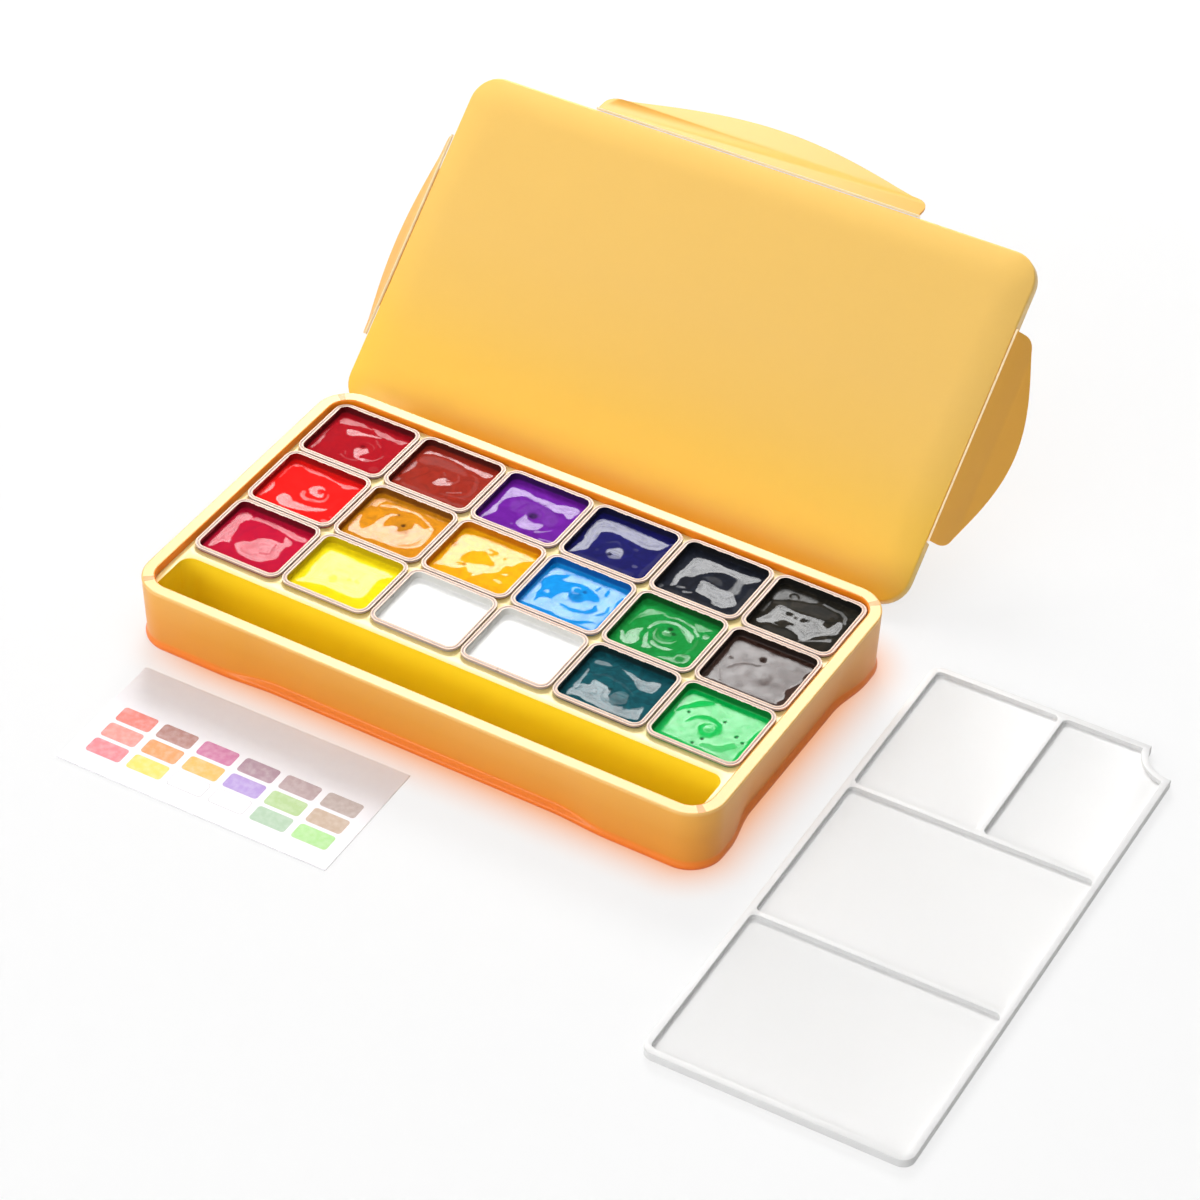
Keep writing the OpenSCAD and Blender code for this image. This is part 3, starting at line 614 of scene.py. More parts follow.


# colour, its streaks, the darker colour painted as shade on its film up the wall and in pits; level: gloss
# where no stroke lies;
# bumps: x, y, radius, height, darkness of the painted shade on it
PAINTS = [
    dict(colour="#B20016", streak="#A80018", shade_code="#3C0006", level=0.0,
         bumps=[(1.7, 0.5, 1.2, -0.7, 0.4)], strokes=[
        pool(0.85, (-18.3, 9.5), (-18.7, 14.5), (-12, 15.3), (-5, 15), (-0.3, 13.5), (-6.2, 13.3),
             (-12.8, 10.8)),
        pool(0.85, (-0.5, 13.6), (-2, 15.2), (5, 15), (12, 14), (19.5, 14.5), (17, 11), (13, 11.5),
             (5, 11.3)),
        pool(1.0, (-11.8, 8), (-4, 9.2), (5.3, 10.8), (4.5, 9.6), (-2, 7.6), (-9.5, 4.4)),
        dab(0.9, (-20, 3, 1), (-19.6, -4, 1.8), (-19.2, -13, 1.8)), dab(0.6, (5, 7.6, 1), (9.2, 4.6, 1.2)),
        pool(1.0, (0, -1.8), (0, -5.5), (3, -9.2), (8.8, -9.7), (10.5, -7.2), (5.5, -8), (4.7, -5.5),
             (6.8, -2.2),
             (3, 0)),
        dab(0.7, (14.6, -1.5, 0.8), (12, -6, 1.2), (9, -9, 1.6)), dab(0.6, (-4.5, -10.5, 1), (0, -12, 0.8),
             (5, -10.5, 1)),
        dab(0.6, (-3.8, -7.2, 0.8), (-2.6, -9, 0.6)), spot(0.3, 15.5, -12, 2.2),
        arc(0.5, 3, -1, 5, 20, 100, 1)]),
    dict(colour="#A22612", streak="#8F2210", shade_code="#2C0602", level=0.08,
         bumps=[(2, 0.5, 1.2, -0.4, 0)], strokes=[
        pool(1.0, (-19.5, 10.7), (-19.5, 14.6), (-14.5, 15.8), (0, 15.4), (9, 14.6), (18.5, 15), (17.5, 11.5),
             (15.5, 10.4), (12, 11.2), (5, 12.4), (-3, 14), (-10, 14.2), (-16.5, 13)),
        pool(0.42, (-18, 10), (-12, 12.5), (-4, 12.5), (4, 11), (8, 8), (2, 7), (-8, 6.5), (-14, 4.5),
             (-19, 5), edge=2),
        pool(0.85, (-20.5, 3.5), (-19, 4), (-18, 0), (-18.5, -5), (-20.5, -7)), spot(0.7, -20, -12, 1.6),
        pool(1.0, (-4, -3), (-2.7, -0.5), (0.2, 0.75), (3.5, 0.3), (5.2, -0.1), (4.3, -2.6), (1.8, -4.7),
             (-1.5, -6.3), (-4, -5.5)),
        dab(0.5, (-3.4, 3.8, 1), (-1.6, 2.6, 1.4)), dab(0.45, (4.5, 5, 1.2), (6, 2, 1.4), (5, -0.5, 1.6)),
        arc(0.35, 4, -1, 12.5, -40, 60, 2.6), dab(0.7, (6, -8.4, 1), (12, -5, 1.2)),
        dab(0.4, (-16, -14, 2), (0, -14.5, 2.4), (18, -14, 2)), dab(0.4, (4, -10.5, 1), (16, -8.5, 1.4))]),
    dict(colour="#6A1098", streak="#761AA6", shade_code="#1C0434", level=0.0,
         bumps=[(1.3, -1.2, 1.9, -1.0, 0.8)], strokes=[
        pool(0.35, (-13, 3), (-8, 7), (0, 8), (8, 6.5), (14, 2), (14, -3), (10, -5), (3, -1), (-4, -3),
             (-10, -3), edge=2),
        pool(1.0, (-18.9, 11.6), (-12.7, 13.2), (-2.7, 12), (5.7, 12), (9.8, 13.7), (17.8, 14.5), (19, 9.5),
             (17.3, 5.5), (12.3, 7), (4, 7), (-5.2, 9), (-11, 8.7), (-16, 2.8), (-17.3, -2.2), (-16, -7.2),
             (-18.9, -14.7), (-20.2, -14), (-18.6, 0)),
        dab(0.1, (-14.5, 2, 0.8), (-12, 6, 1.2), (-6, 8, 1.2), (2, 7.4, 0.8)),
        pool(1.0, (-2.2, -2.6), (0.7, -5.1), (4, -5.5), (9.4, -5), (9, -8.8), (5.7, -11.8), (1.5, -12.2),
             (-2.7, -10.5),
             (-3.1, -8)),
        arc(0.1, 1.5, -1, 9, 120, 200, 1.5), arc(0.2, 1.5, -1, 5, -40, 120, 1.2),
        dab(0.85, (8.5, -11.2, 1.8), (12, -9, 1.3), (15, -6.3, 0.7)), spot(0.6, -4.8, -11.8, 0.8),
        dab(0.7, (-7, -15.4, 1), (0, -15.4, 1)), dab(0.8, (13, -15, 1.2), (19, -13.5, 1.6))]),
    dict(colour="#0E0E58", streak="#14146A", shade_code="#04041E", level=0.0,
         bumps=[(-2.4, -6.7, 0.9, -0.4, 0.6)], strokes=[
        pool(1.0, (-18.2, 14.5), (17.2, 14.5), (19, 16), (17.6, 11.2), (14.7, 7), (9.7, 5.7), (3.8, 6.6),
             (-7, 7.8),
             (-11.6, 7.4), (-13.7, 5.3), (-14, 0.3), (-13.7, -4.7), (-14, -9), (-17, -12.6), (-20.3, -14.7),
             (-19, -5.5), edge=0.8),
        spot(1.0, -0.5, -4.7, 4.3, edge=1.2), dab(0.1, (-3.4, -7.4, 1), (-1.4, -6, 0.8)),
        dab(0.4, (-8, 0.8, 0.8), (-4, 3, 1.2), (-1, 1.5, 1)), spot(0.45, 6.8, 2.6, 1.2),
        spot(0.6, 12.3, -8, 1.3),
        spot(0.3, -9.5, -7, 0.9), dab(0.35, (-16, -14.5, 2.2), (14, -14.5, 2.2), edge=1.2),
        dab(0.35, (18, -13, 2.6), (18.8, 8, 2), edge=1.2)]),
    dict(colour="#0C101C", streak="#161C2A", shade_code="#040508", level=0.0, bumps=[(-1, 2, 3, 0.25, 0)], strokes=[
        pool(1.0, (-16.5, 12), (-13.2, 14.3), (-3.2, 14.5), (8.5, 14.1), (18.9, 15.3), (16.8, 10.7),
             (12.2, 7),
             (8.5, 8.7), (2.7, 9.5), (-3.2, 7.8), (-7.3, 3.7), (-9.8, 0), (-13.2, -1.7), (-14.4, -4.7),
             (-14, -9.7),
             (-16.5, -11.3), (-17.5, -5), (-17, 5), edge=0.8),
        pool(0.85, (9, 9), (12.5, 8.5), (14.5, 4), (14, -1), (11, -6), (7, -4), (9, 0), (9.5, 4), edge=1.4),
        pool(1.0, (-5.2, -0.9), (0.2, -0.5), (5.2, -1.3), (10.2, -0.5), (13.5, -2.2), (17.7, -6.3), (18, -8),
             (13.5, -12.2), (7.7, -12.6), (5.2, -10.5), (0.2, -9.2), (-4, -8)),
        pool(0.45, (-6, 2), (-3, 4.5), (2, 5), (5, 3.5), (4, 0.5), (-2, 0.8), edge=1.2),
        dab(0.85, (-12.5, -10.5, 1.5), (-9.5, -9, 1.5)), dab(0.85, (-8.5, -12, 1.6), (-5, -10.8, 1.4)),
        dab(0.3, (-16, -15, 2), (18, -15, 2), edge=1), dab(0.3, (19, -12, 2.4), (19, 6, 2.4), edge=1),
        spot(0.8, -20, -14, 1.3)]),
    dict(colour="#15130C", streak="#2A241A", shade_code="#060503", level=0.0,
         bumps=[(-8.2, 0.3, 1, -0.5, 0), (0.2, -0.3, 1, -0.5, 0)], strokes=[
        pool(0.32, (-19, 4), (-14, 7), (-8, 10.5), (0, 12), (9, 12), (13, 9), (9, 6), (2, 5), (-10, 4.5),
             (-15, 3)),
        pool(0.85, (-20.2, 16.2), (-12, 17), (-2.7, 17), (-1, 13.7), (-8.5, 11.6), (-13.5, 9.5),
             (-19.7, 5.7), edge=1),
        arc(0.0, -11.5, 12.2, 2, 0, 220, 1.4), dab(0.9, (3, 14.6, 1.8), (12, 13.6, 1.8), (16, 11.5, 1.8),
             (18, 8, 2)),
        pool(1.0, (-15.2, 3.7), (-3.5, 3.2), (4, 4.1), (8.2, 4.9), (9, 2), (12.3, 1.5), (14.5, 7.5),
             (17.5, 7),
             (17.7, -1.3), (14, -4.7), (9.8, -8.8), (7.3, -13), (4.8, -13.8), (2.3, -11.3), (-2.7, -9.7),
             (-11.8, -10), (-16.8, -12.2), (-19.7, -11.3), (-16.8, -5.5)),
        spot(0.0, -8.2, 0.3, 1.5), dab(0.0, (-0.8, -0.9, 1.5), (1.6, 0.4, 1.7)), spot(0.0, -4.6, -0.2, 0.6),
        pool(0.0, (-11, -8.8), (-8.5, -5.5), (-4.3, -4.7), (-2.2, -5.9), (-5.2, -7.2), (-6, -9.5)),
        dab(0.0, (10.8, 8, 2), (11, 4, 1.6), (11.3, 1.5, 1)), dab(0.9, (5, -14.5, 0.8), (12, -10, 1.2),
             (17, -7, 2.2)),
        dab(0.7, (-20, 3, 1.4), (-19.8, -4, 1.4)),
        pool(0.3, (-14, -13), (-8, -11.4), (-2, -11.4), (3, -13.5), (-2, -15.5), (-12, -15.5))]),
    dict(colour="#FF100A", streak="#F2100C", shade_code="#6E0402", level=0.0,
         bumps=[(3.6, 3.6, 1, -0.5, 0)], strokes=[
        pool(0.85, (-19.5, 16.2), (-13.7, 16.8), (-5.3, 16.2), (3, 14.9), (8.8, 14.6), (18.8, 15.8),
             (13.8, 12),
             (10.5, 12), (8.8, 13.2), (-1.2, 13.7), (-9.5, 13.7), (-14.5, 14.9), (-19, 13.8)),
        dab(0.75, (-19.6, 13, 1.2), (-19.6, 3, 1.2)),
        pool(0.95, (-20.5, -2), (-18.5, -2.5), (-17.2, -6.5), (-18, -11.5), (-20.5, -13.5)),
        pool(1.0, (-2, 2.8), (-0.3, 6.2), (2.6, 7), (5, 5.7), (3, 4.9), (3.8, 3.2), (5.9, 3.2), (6.7, 0.7),
             (3.8, -0.9),
             (-0.3, -0.1)),
        dab(0.85, (8.6, 4, 1), (9.4, 0, 1.8), (7, -3.2, 2), (2, -4.4, 2.2), (-2.2, -3.4, 2.6),
             (-3, -0.3, 1.8)),
        pool(1.0, (-12.4, -10), (-11.2, -6.3), (-7.8, -6.3), (-3.7, -8.4), (3, -8.8), (8.8, -7.6),
             (13.6, -5.5),
             (12.5, -8), (8.8, -10.9), (3, -13.4), (-5.3, -14.7), (-10.3, -13)),
        spot(0.8, 17.5, -14, 1.8), spot(0.5, 19, -10, 0.8)]),
    dict(colour="#E69408", streak="#CC7F08", shade_code="#5A3204", level=0.05,
         bumps=[(2.5, 1.5, 4, -0.35, 0.25), (1.8, 3.7, 1.0, -0.8, 0.9),
                (-4.2, 9.1, 0.5, -0.3, 0.9)], strokes=[
        pool(0.9, (-21, 15), (-17, 17), (-14, 17), (-16, 12), (-17, 8.5), (-19.5, 8), (-21, 5)),
        pool(1.0, (-21, -2.2), (-19, -0.5), (-17.3, -4.7), (-14.8, -8), (-12.3, -8), (-11, -3),
             (-10.2, 2.8), (-8.2, 7),
             (-4.8, 9.5), (-6.9, 5.7), (-7, 0.3), (-5.2, -1.7), (-2.3, 1.2), (0.2, 1), (1.8, -1.4),
             (4.3, -0.1),
             (6.4, 4.5), (5.6, 7.8), (8.5, 7.8), (11.8, 6.6), (14, 8.8), (16.8, 6.2), (18, 1.2), (17.7, -5.5),
             (13.5, -9.7), (6.8, -12.6), (-1.5, -12.6), (-8.2, -13.8), (-14.8, -13.8), (-19.8, -12.2)),
        dab(1.0, (-15, 10.5, 1.8), (-8, 13.2, 2.4), (0, 14.3, 1.8), (6, 13.2, 1.6), (12, 10.4, 1.5),
             (15.5, 7, 1.6)),
        dab(0.7, (-15, 15.5, 2), (0, 17, 1.6), (17, 15.6, 1.4)),
        dab(0.55, (8, -10.5, 0.9), (13, -6.5, 0.9), (15.5, -2, 0.7))]),
    dict(colour="#FFB800", streak="#F7A600", shade_code="#B06400", level=0.0,
         bumps=[(-19.7, 5.3, 1.6, 0.2, 0.5), (-7.7, -5.5, 0.9, -0.3, 0.5)], strokes=[
        pool(1.0, (-18.5, 14.5), (17.7, 15.3), (15.7, 10.3), (13.2, 5.7), (9.8, 2.8), (9, -3), (4, -7.2),
             (0.7, -11.3),
             (-0.6, -9.2), (-3.5, -9.2), (-6, -7.2), (-8.9, -9.7), (-15.2, -11.3), (-20.6, -13.8),
             (-19, -5.5)),
        pool(0.0, (-10.6, 3.7), (-8.5, 5.7), (-3.5, 7), (-0.2, 4.9), (5.2, 1.2), (0.7, -0.9), (-3.5, -3),
             (-7.7, -3.8),
             (-11, -2.6)),
        dab(0.0, (-2.5, 9.8, 0.8), (1.5, 9, 2.2), (-0.5, 6.8, 1.4)), spot(0.2, 7.3, 7.8, 0.6),
        dab(1.0, (11, -2.4, 0.6), (13.3, -2, 2)), dab(1.0, (11.2, -7.8, 0.8), (14, -8, 2.2)),
        dab(0.1, (-11, -6, 0.8), (-8, -5.4, 1.8))]),
    dict(colour="#0090E4", streak="#0AA0F0", shade_code="#004C8E", level=0.95,
         bumps=[(-0.5, 2.2, 2.8, 0.5, 0.35), (2, 7, 0.9, -0.3, 0.7)], strokes=[
        dab(0.0, (-20, -15.6, 3.4), (-8, -15, 2.6), (12, -15.5, 1.6), (19, -16, 1.4)),
        dab(0.0, (20.3, -14, 1.6), (20.3, 12, 1.8)), dab(0.1, (-20, 17.5, 3), (0, 18, 3), (19, 17.5, 3)),
        pool(0.0, (-18.2, 0.3), (-19.5, 3.7), (-17.8, 8.7), (-13.7, 12.8), (-9.9, 14.5), (-12, 9.3),
             (-7, 10.3),
             (-1.2, 11.2), (3.8, 9.9), (8.8, 7), (10.9, 4.1), (8, 2.8), (5, 1.8), (2.2, -1.3), (-0.3, -1.3),
             (-3.2, 0.3), (-5, 2.4), (-8.2, -0.5), (-8.7, -4.7), (-11.2, -5.5), (-13.7, -7.2), (-15, -10.5),
             (-16.6, -5.5)),
        spot(1.0, -13.7, -1.7, 1.5), arc(0.95, -1.8, 5.8, 2.4, 60, 320, 1.5),
        dab(0.0, (-3.6, -5.6, 0.8), (3, -7, 1.8), (9, -5.6, 2), (12.4, -2, 2.6), (11.5, 0.5, 1)),
        dab(0.0, (11.4, 13.5, 1), (12.2, 9.5, 1.6)), dab(0.1, (6, 11, 1), (6.5, 13.5, 0.6)),
        pool(0.0, (4, -14.5), (10, -12), (14, -9.8), (18, -9.5), (14, -11.5), (12, -14)),
        dab(0.2, (17.4, 3, 1), (17.6, -1, 1.8), (15, -4, 1)), dab(1.0, (-19, 9, 1.2), (-13, 13.6, 1))]),
    dict(colour="#088A34", streak="#109C44", shade_code="#00320C", level=0.0,
         bumps=[(0.2, 1.8, 2.6, 0.4, 0), (0, 5.4, 1.2, -0.5, 0.9), (3, 3, 1, -0.3, 0.7)], strokes=[
        pool(0.85, (-17.5, 4), (-17.5, 8), (-15.5, 13.2), (-11, 14), (-7, 13.2), (-12, 10.5), (-15, 7)),
        dab(1.0, (-9.2, 1, 1.4), (-7.5, 6, 2), (-2, 9.6, 2), (4, 9, 2.8), (9.5, 6, 4.4), (12.2, 2.2, 2)),
        dab(0.95, (-7, 12.2, 1), (0, 13.4, 1.6), (8, 11.8, 1.4), (13, 8, 1.6)),
        pool(0.85, (7, 14.5), (13, 15), (18, 14), (14, 11.8), (11, 10.8)), spot(0.9, 16.5, 9, 1.8),
        pool(1.0, (-16.1, -6.3), (-13.2, -2.2), (-10.7, -0.5), (-11, -4.7), (-9, -8), (-9.8, -13),
             (-13.2, -14.2),
             (-16.5, -13), (-19.8, -8), (-18.6, -7.2), (-16.5, -9.7)),
        pool(1.0, (-8.2, -1.7), (-6.5, -3.8), (-4.8, -7.2), (-1.5, -9.7), (-2.3, -12.2), (-5.2, -13),
             (-6, -10.5),
             (-7.7, -7.2)),
        pool(1.0, (-3.2, -5.5), (1, -7.2), (8, -6.3), (5.2, -8.8), (0.2, -9.2), (-3.2, -7.6)),
        spot(1.0, 0.2, 1.8, 2.3), arc(0.85, 0.5, 1.5, 6.2, 170, 340, 1.8),
        arc(0.6, 0.5, 1.5, 4.4, 190, 320, 1),
        pool(0.9, (11.8, -8), (16, -6.3), (18, -8), (17.7, -13), (13.5, -14.7), (4.3, -15), (6.8, -13),
             (11, -11.3)),
        spot(0.1, 14, -11, 1.8), arc(0.5, 0, 0, 15.5, -25, 20, 1.4), arc(0.5, 0, 0, 18, 150, 185, 1.2)]),
    dict(colour="#3A251C", streak="#46302A", shade_code="#140A06", level=0.95,
         bumps=[(-2.2, 9.1, 1.2, -0.8, 0.5), (4, -2, 4, 0.3, 0)], strokes=[
        pool(0.0, (21, 12), (19.5, 10), (20, 4), (18, -1), (17, -5), (18.3, -9), (17, -13), (14, -15),
             (-19, -15.2),
             (-21, -17.5), (22, -17.5)),
        dab(0.0, (-20.6, 16, 1.6), (-20.4, -14, 1.8)), spot(0.0, -2.3, 9.1, 1.1), spot(0.3, -16.8, 3.7, 0.6),
        dab(0.7, (-14, -3.5, 0.5), (-12, 0, 0.5), (-8, 3.6, 0.5), (-2, 5.2, 0.4)),
        dab(0.75, (-16.5, -8, 0.5), (-13, -13, 0.5))]),
    dict(colour="#C80032", streak="#BC0034", shade_code="#4C000E", level=0.0, bumps=[(4, -2, 5, 0.2, 0)], strokes=[
        pool(0.95, (-19.8, 15.9), (-16.7, 16.8), (-13.1, 14.2), (-14.9, 9.7), (-15.3, 6.2), (-14, 1.7),
             (-13.1, -3.6),
             (-11.3, -7.2), (-14.9, -9), (-17.6, -13.4), (-19.8, -13.4), (-20.2, -2.8)),
        pool(0.9, (-13.5, 12.6), (-10, 15.5), (0, 15.8), (8, 15), (18.5, 14.2), (18.9, 11), (13.6, 10.8),
             (7.4, 12),
             (1, 13), (-6, 13.2)),
        pool(0.95, (8.7, 10.2), (13.6, 8.8), (14.5, 6.2), (13.2, -0.1), (14, -5.4), (10.9, -9.9),
             (6.5, -12.1),
             (-0.6, -12.5), (-6, -9.9), (-9.1, -6.3), (-6.9, -2.8), (-3.8, -1.4), (-2, 2.6), (1.1, 4.4),
             (7.4, 5.7),
             (10, 6.2)),
        dab(0.7, (8, 3, 0.5), (9.5, -3, 0.6), (6, -6, 0.5))]),
    dict(colour="#FFE600", streak="#F8DC00", shade_code="#B8A200", level=0.0,
         bumps=[(0, -2, 10, -0.2, 0)], strokes=[
        pool(0.95, (-17.6, 12.8), (0, 13.6), (18.5, 13.7), (14, 6.2), (13.6, -9), (-6, -9.9), (-18.4, -13.9),
             (-17.6, -7.2), edge=1.6),
        spot(0.6, 2.5, -0.1, 0.7), spot(0.7, -5, -3, 2), spot(0.7, 6, 1, 0.6)]),
    dict(colour="#FCFCFA", streak="#F6F6F4", shade_code="#D8D6D0", level=0.6, bumps=[(1, -1, 8, 0.12, 0)], strokes=[
        arc(0.35, 0, 0, 8, 0, 200, 1.4), dab(0.8, (-12, -8, 4), (8, -11, 4)), dab(0.8, (-10, 10, 4),
             (14, 11, 3))]),
    dict(colour="#FCFCFA", streak="#F6F6F4", shade_code="#DAD8D2", level=0.6, bumps=[(0, 0, 8, 0.12, 0)], strokes=[
        arc(0.35, 3, 2, 8, 90, 300, 1.4), dab(0.8, (-10, -10, 4), (10, -8, 4)), dab(0.8, (-12, 8, 4),
             (12, 12, 3))]),
    dict(colour="#00444E", streak="#045A64", shade_code="#00120F", level=0.0,
         bumps=[(4, -4.5, 4, 0.3, 0), (-2.4, -1.4, 0.8, -0.4, 0.6)], strokes=[
        pool(0.8, (-18, 12.8), (-13.1, 13.7), (-9.5, 12.4), (-15.8, 10.6), (-18, 10.6)),
        dab(0.9, (-18.2, 5, 1.2), (-17.6, -2, 1.8), (-17.5, -8, 3)),
        pool(0.95, (-6, 13.3), (1.2, 12.8), (8.2, 11.7), (15.4, 13.3), (15.8, 7.9), (15, 5.3), (9.2, 4.8),
             (3.8, 8.4),
             (-0.5, 11)),
        dab(0.3, (-14, 3, 1.2), (-8, 5.5, 1.6), (2, 3.5, 1.2), (8, 0, 0.8)),
        pool(1.0, (-11.8, 0.4), (-8.7, -0.1), (-5.5, -0.5), (-2, -2.3), (-0.6, -6.3), (3.8, -9), (7.4, -9.9),
             (11.8, -9), (16.3, -4.5), (18.5, -10.8), (16.3, -14.8), (0.2, -15.2), (-13.1, -13.9),
             (-18.4, -14.8),
             (-18.4, -9), (-15.7, -5), (-13.1, -4.5), edge=0.7),
        spot(0.65, 4, -5, 4.6), dab(0.0, (9, -9.5, 1.4), (14, -5.5, 2.4), (16.5, -1, 2))]),
    dict(colour="#00C050", streak="#0CCA60", shade_code="#005A24", level=0.95,
         bumps=[(-14, 3.9, 0.6, -0.3, 1), (3.6, 6.4, 0.6, -0.3, 1), (13, 0.4, 0.7, -0.3, 1),
                (17.3, -1.9, 0.6, -0.3, 1),
                (0.1, -8.7, 0.7, -0.3, 1), (-2.4, -13.3, 0.6, -0.3, 1), (-0.6, -1.4, 2.4, 0.3, 0)], strokes=[
        pool(0.0, (-19.3, 1.7), (-18, 7), (-14, 12.4), (-6.9, 15), (-7.7, 12.4), (-13.1, 7.9), (-17.6, 2.6)),
        dab(0.15, (-11.4, -2, 0.6), (-9.6, 2.4, 1.8), (-4.4, 4.8, 2.4), (2, 3.2, 2.4), (4.4, -1.2, 2.6),
             (2.5, -5, 2.2)),
        spot(0.1, -0.6, -1.6, 3.8), spot(1.0, -0.6, -1.2, 2.7), arc(0.1, -0.6, -1.4, 4.3, 150, 330, 1.6),
        dab(0.55, (2, -12, 2), (9, -10.5, 3), (14, -6, 3), edge=1.2),
        dab(0.0, (-19, -16, 2.4), (0, -15.6, 1.6), (12, -15.8, 1.4)),
        dab(0.0, (20, -14, 1.6), (19.6, 0, 1.4), (20.4, 10, 1.6)), dab(0.0, (-20, -15, 2.6),
             (-19.4, -7, 1.8), (-19.6, 0, 1.4))])]

GRID_X, GRID_Y = 132, 118
WALL_SHARE = 0.92           # share of the grid, from the middle, that is the free surface
MENISCUS = 0.5 * MM         # the paint's edge curls up the wall with this radius
FILM = 0.12 * MM            # thickness of the film of paint above it
FILM_MOST = 3.3             # mm; the film never reaches the flange
PAINT_CORNER = 3.7 * MM
WALL_FLARE = 2 / 27.9       # the cup's wall leans out by this for each mm of height


def ease(t):
    """0 below 0, 1 above 1, smooth between."""
    t = np.clip(t, 0, 1)
    return t * t * (3 - 2 * t)


def cloud(x, y, size, seed):
    """Smooth noise from -1 to 1 with lumps of about the given size."""
    table = np.random.default_rng(seed).uniform(-1, 1, (64, 64))
    u, v = x / size + 640, y / size + 640
    i, j = np.floor(u).astype(int), np.floor(v).astype(int)
    s, t = ease(u - i), ease(v - j)

    def at(a, b):
        return table[a % 64, b % 64]

    return ((at(i, j) * (1 - s) + at(i + 1, j) * s) * (1 - t)
            + (at(i, j + 1) * (1 - s) + at(i + 1, j + 1) * s) * t)


def smooth_path(points, closed, steps=5):
    """The points of a stroke or an outline joined by a smooth curve."""
    ends = (points[-1], points[0], points[1]) if closed else (points[0], points[-1])
    p = np.array([ends[0], *points, *ends[1:]], float)
    path = []
    for k in range(1, len(p) - 2):
        before, here, after, next_one = p[k - 1:k + 3]
        for t in np.arange(steps) / steps:
            path.append(here + 0.5 * ((after - before) * t
                                      + (2 * before - 5 * here + 4 * after - next_one) * t ** 2
                                      + (3 * here - before - 3 * after + next_one) * t ** 3))
    return np.array(path + [path[0] if closed else p[-1]])


def near_stroke(x, y, points):
    """How far outside a stroke or an outlined patch each place is, and how far along and across it."""
    outlined = len(points[0]) == 2
    outside = np.full(x.shape, 1e3)
    along, across = np.zeros(x.shape), np.zeros(x.shape)
    within = np.zeros(x.shape, bool)
    run = 0
    path = smooth_path(points, outlined)
    if outlined:
        path = np.column_stack([path, np.zeros(len(path))])
    for (x0, y0, w0), (x1, y1, w1) in zip(path[:-1], path[1:]):
        dx, dy = x1 - x0, y1 - y0
        length = max(math.hypot(dx, dy), 1e-6)
        t = np.clip(((x - x0) * dx + (y - y0) * dy) / length ** 2, 0, 1)
        gap = np.hypot(x - x0 - t * dx, y - y0 - t * dy) - (w0 + t * (w1 - w0)) / 2
        nearer = gap < outside
        outside = np.where(nearer, gap, outside)
        along = np.where(nearer, run + t * length, along)
        across = np.where(nearer, ((x - x0) * dy - (y - y0) * dx) / length, across)
        if outlined and dy:
            within ^= ((y0 > y) != (y1 > y)) & (x < x0 + (y - y0) * dx / dy)
        run += length
    return np.where(within, -outside, outside), along, across


def worked_surface(x, y, recipe, seed):
    """Height in mm above the paint's level, gloss, and darkness of painted shade in pits and on bumps, at
    places in mm from the cup's middle.
    """
    wx = x + 0.5 * cloud(x, y, 4.3, seed) + 0.25 * cloud(x, y, 1.3, seed + 40)
    wy = y + 0.5 * cloud(x, y, 4.3, seed + 80) + 0.25 * cloud(x, y, 1.3, seed + 120)
    height = 0.10 * cloud(x, y, 9, seed + 160) + 0.022 * cloud(x, y, 2.6, seed + 200)
    gloss = recipe["level"] + 0.08 * cloud(x, y, 3.7, seed + 240)
    for number, (value, edge, rise, points) in enumerate(recipe["strokes"]):
        outside, along, across = near_stroke(wx, wy, points)
        hairs = cloud(along, across * 7, 4.0, seed + 280 + number)
        patchy = 0.15 if len(points[0]) == 2 else 0.35
        inside = ease(0.5 - (outside + 0.3 * hairs) / edge) * np.clip(1.0 + patchy * (hairs - 0.1), 0, 1)
        gloss = gloss * (1 - inside) + value * inside
        body = ease(0.5 - outside / 1.8)
        lip = np.exp(-(outside / 0.55) ** 2)
        height += rise * (0.6 * body + 0.5 * lip) + 0.014 * hairs * body
    pit_shade = np.zeros(x.shape)
    for bx, by, radius, rise, darkness in recipe["bumps"]:
        hump = np.exp(-((x - bx) ** 2 + (y - by) ** 2) / radius ** 2)
        height += rise * hump
        pit_shade = np.maximum(pit_shade, darkness * np.clip(2 * hump, 0, 1))
    return height, np.clip(gloss, 0, 1), pit_shade


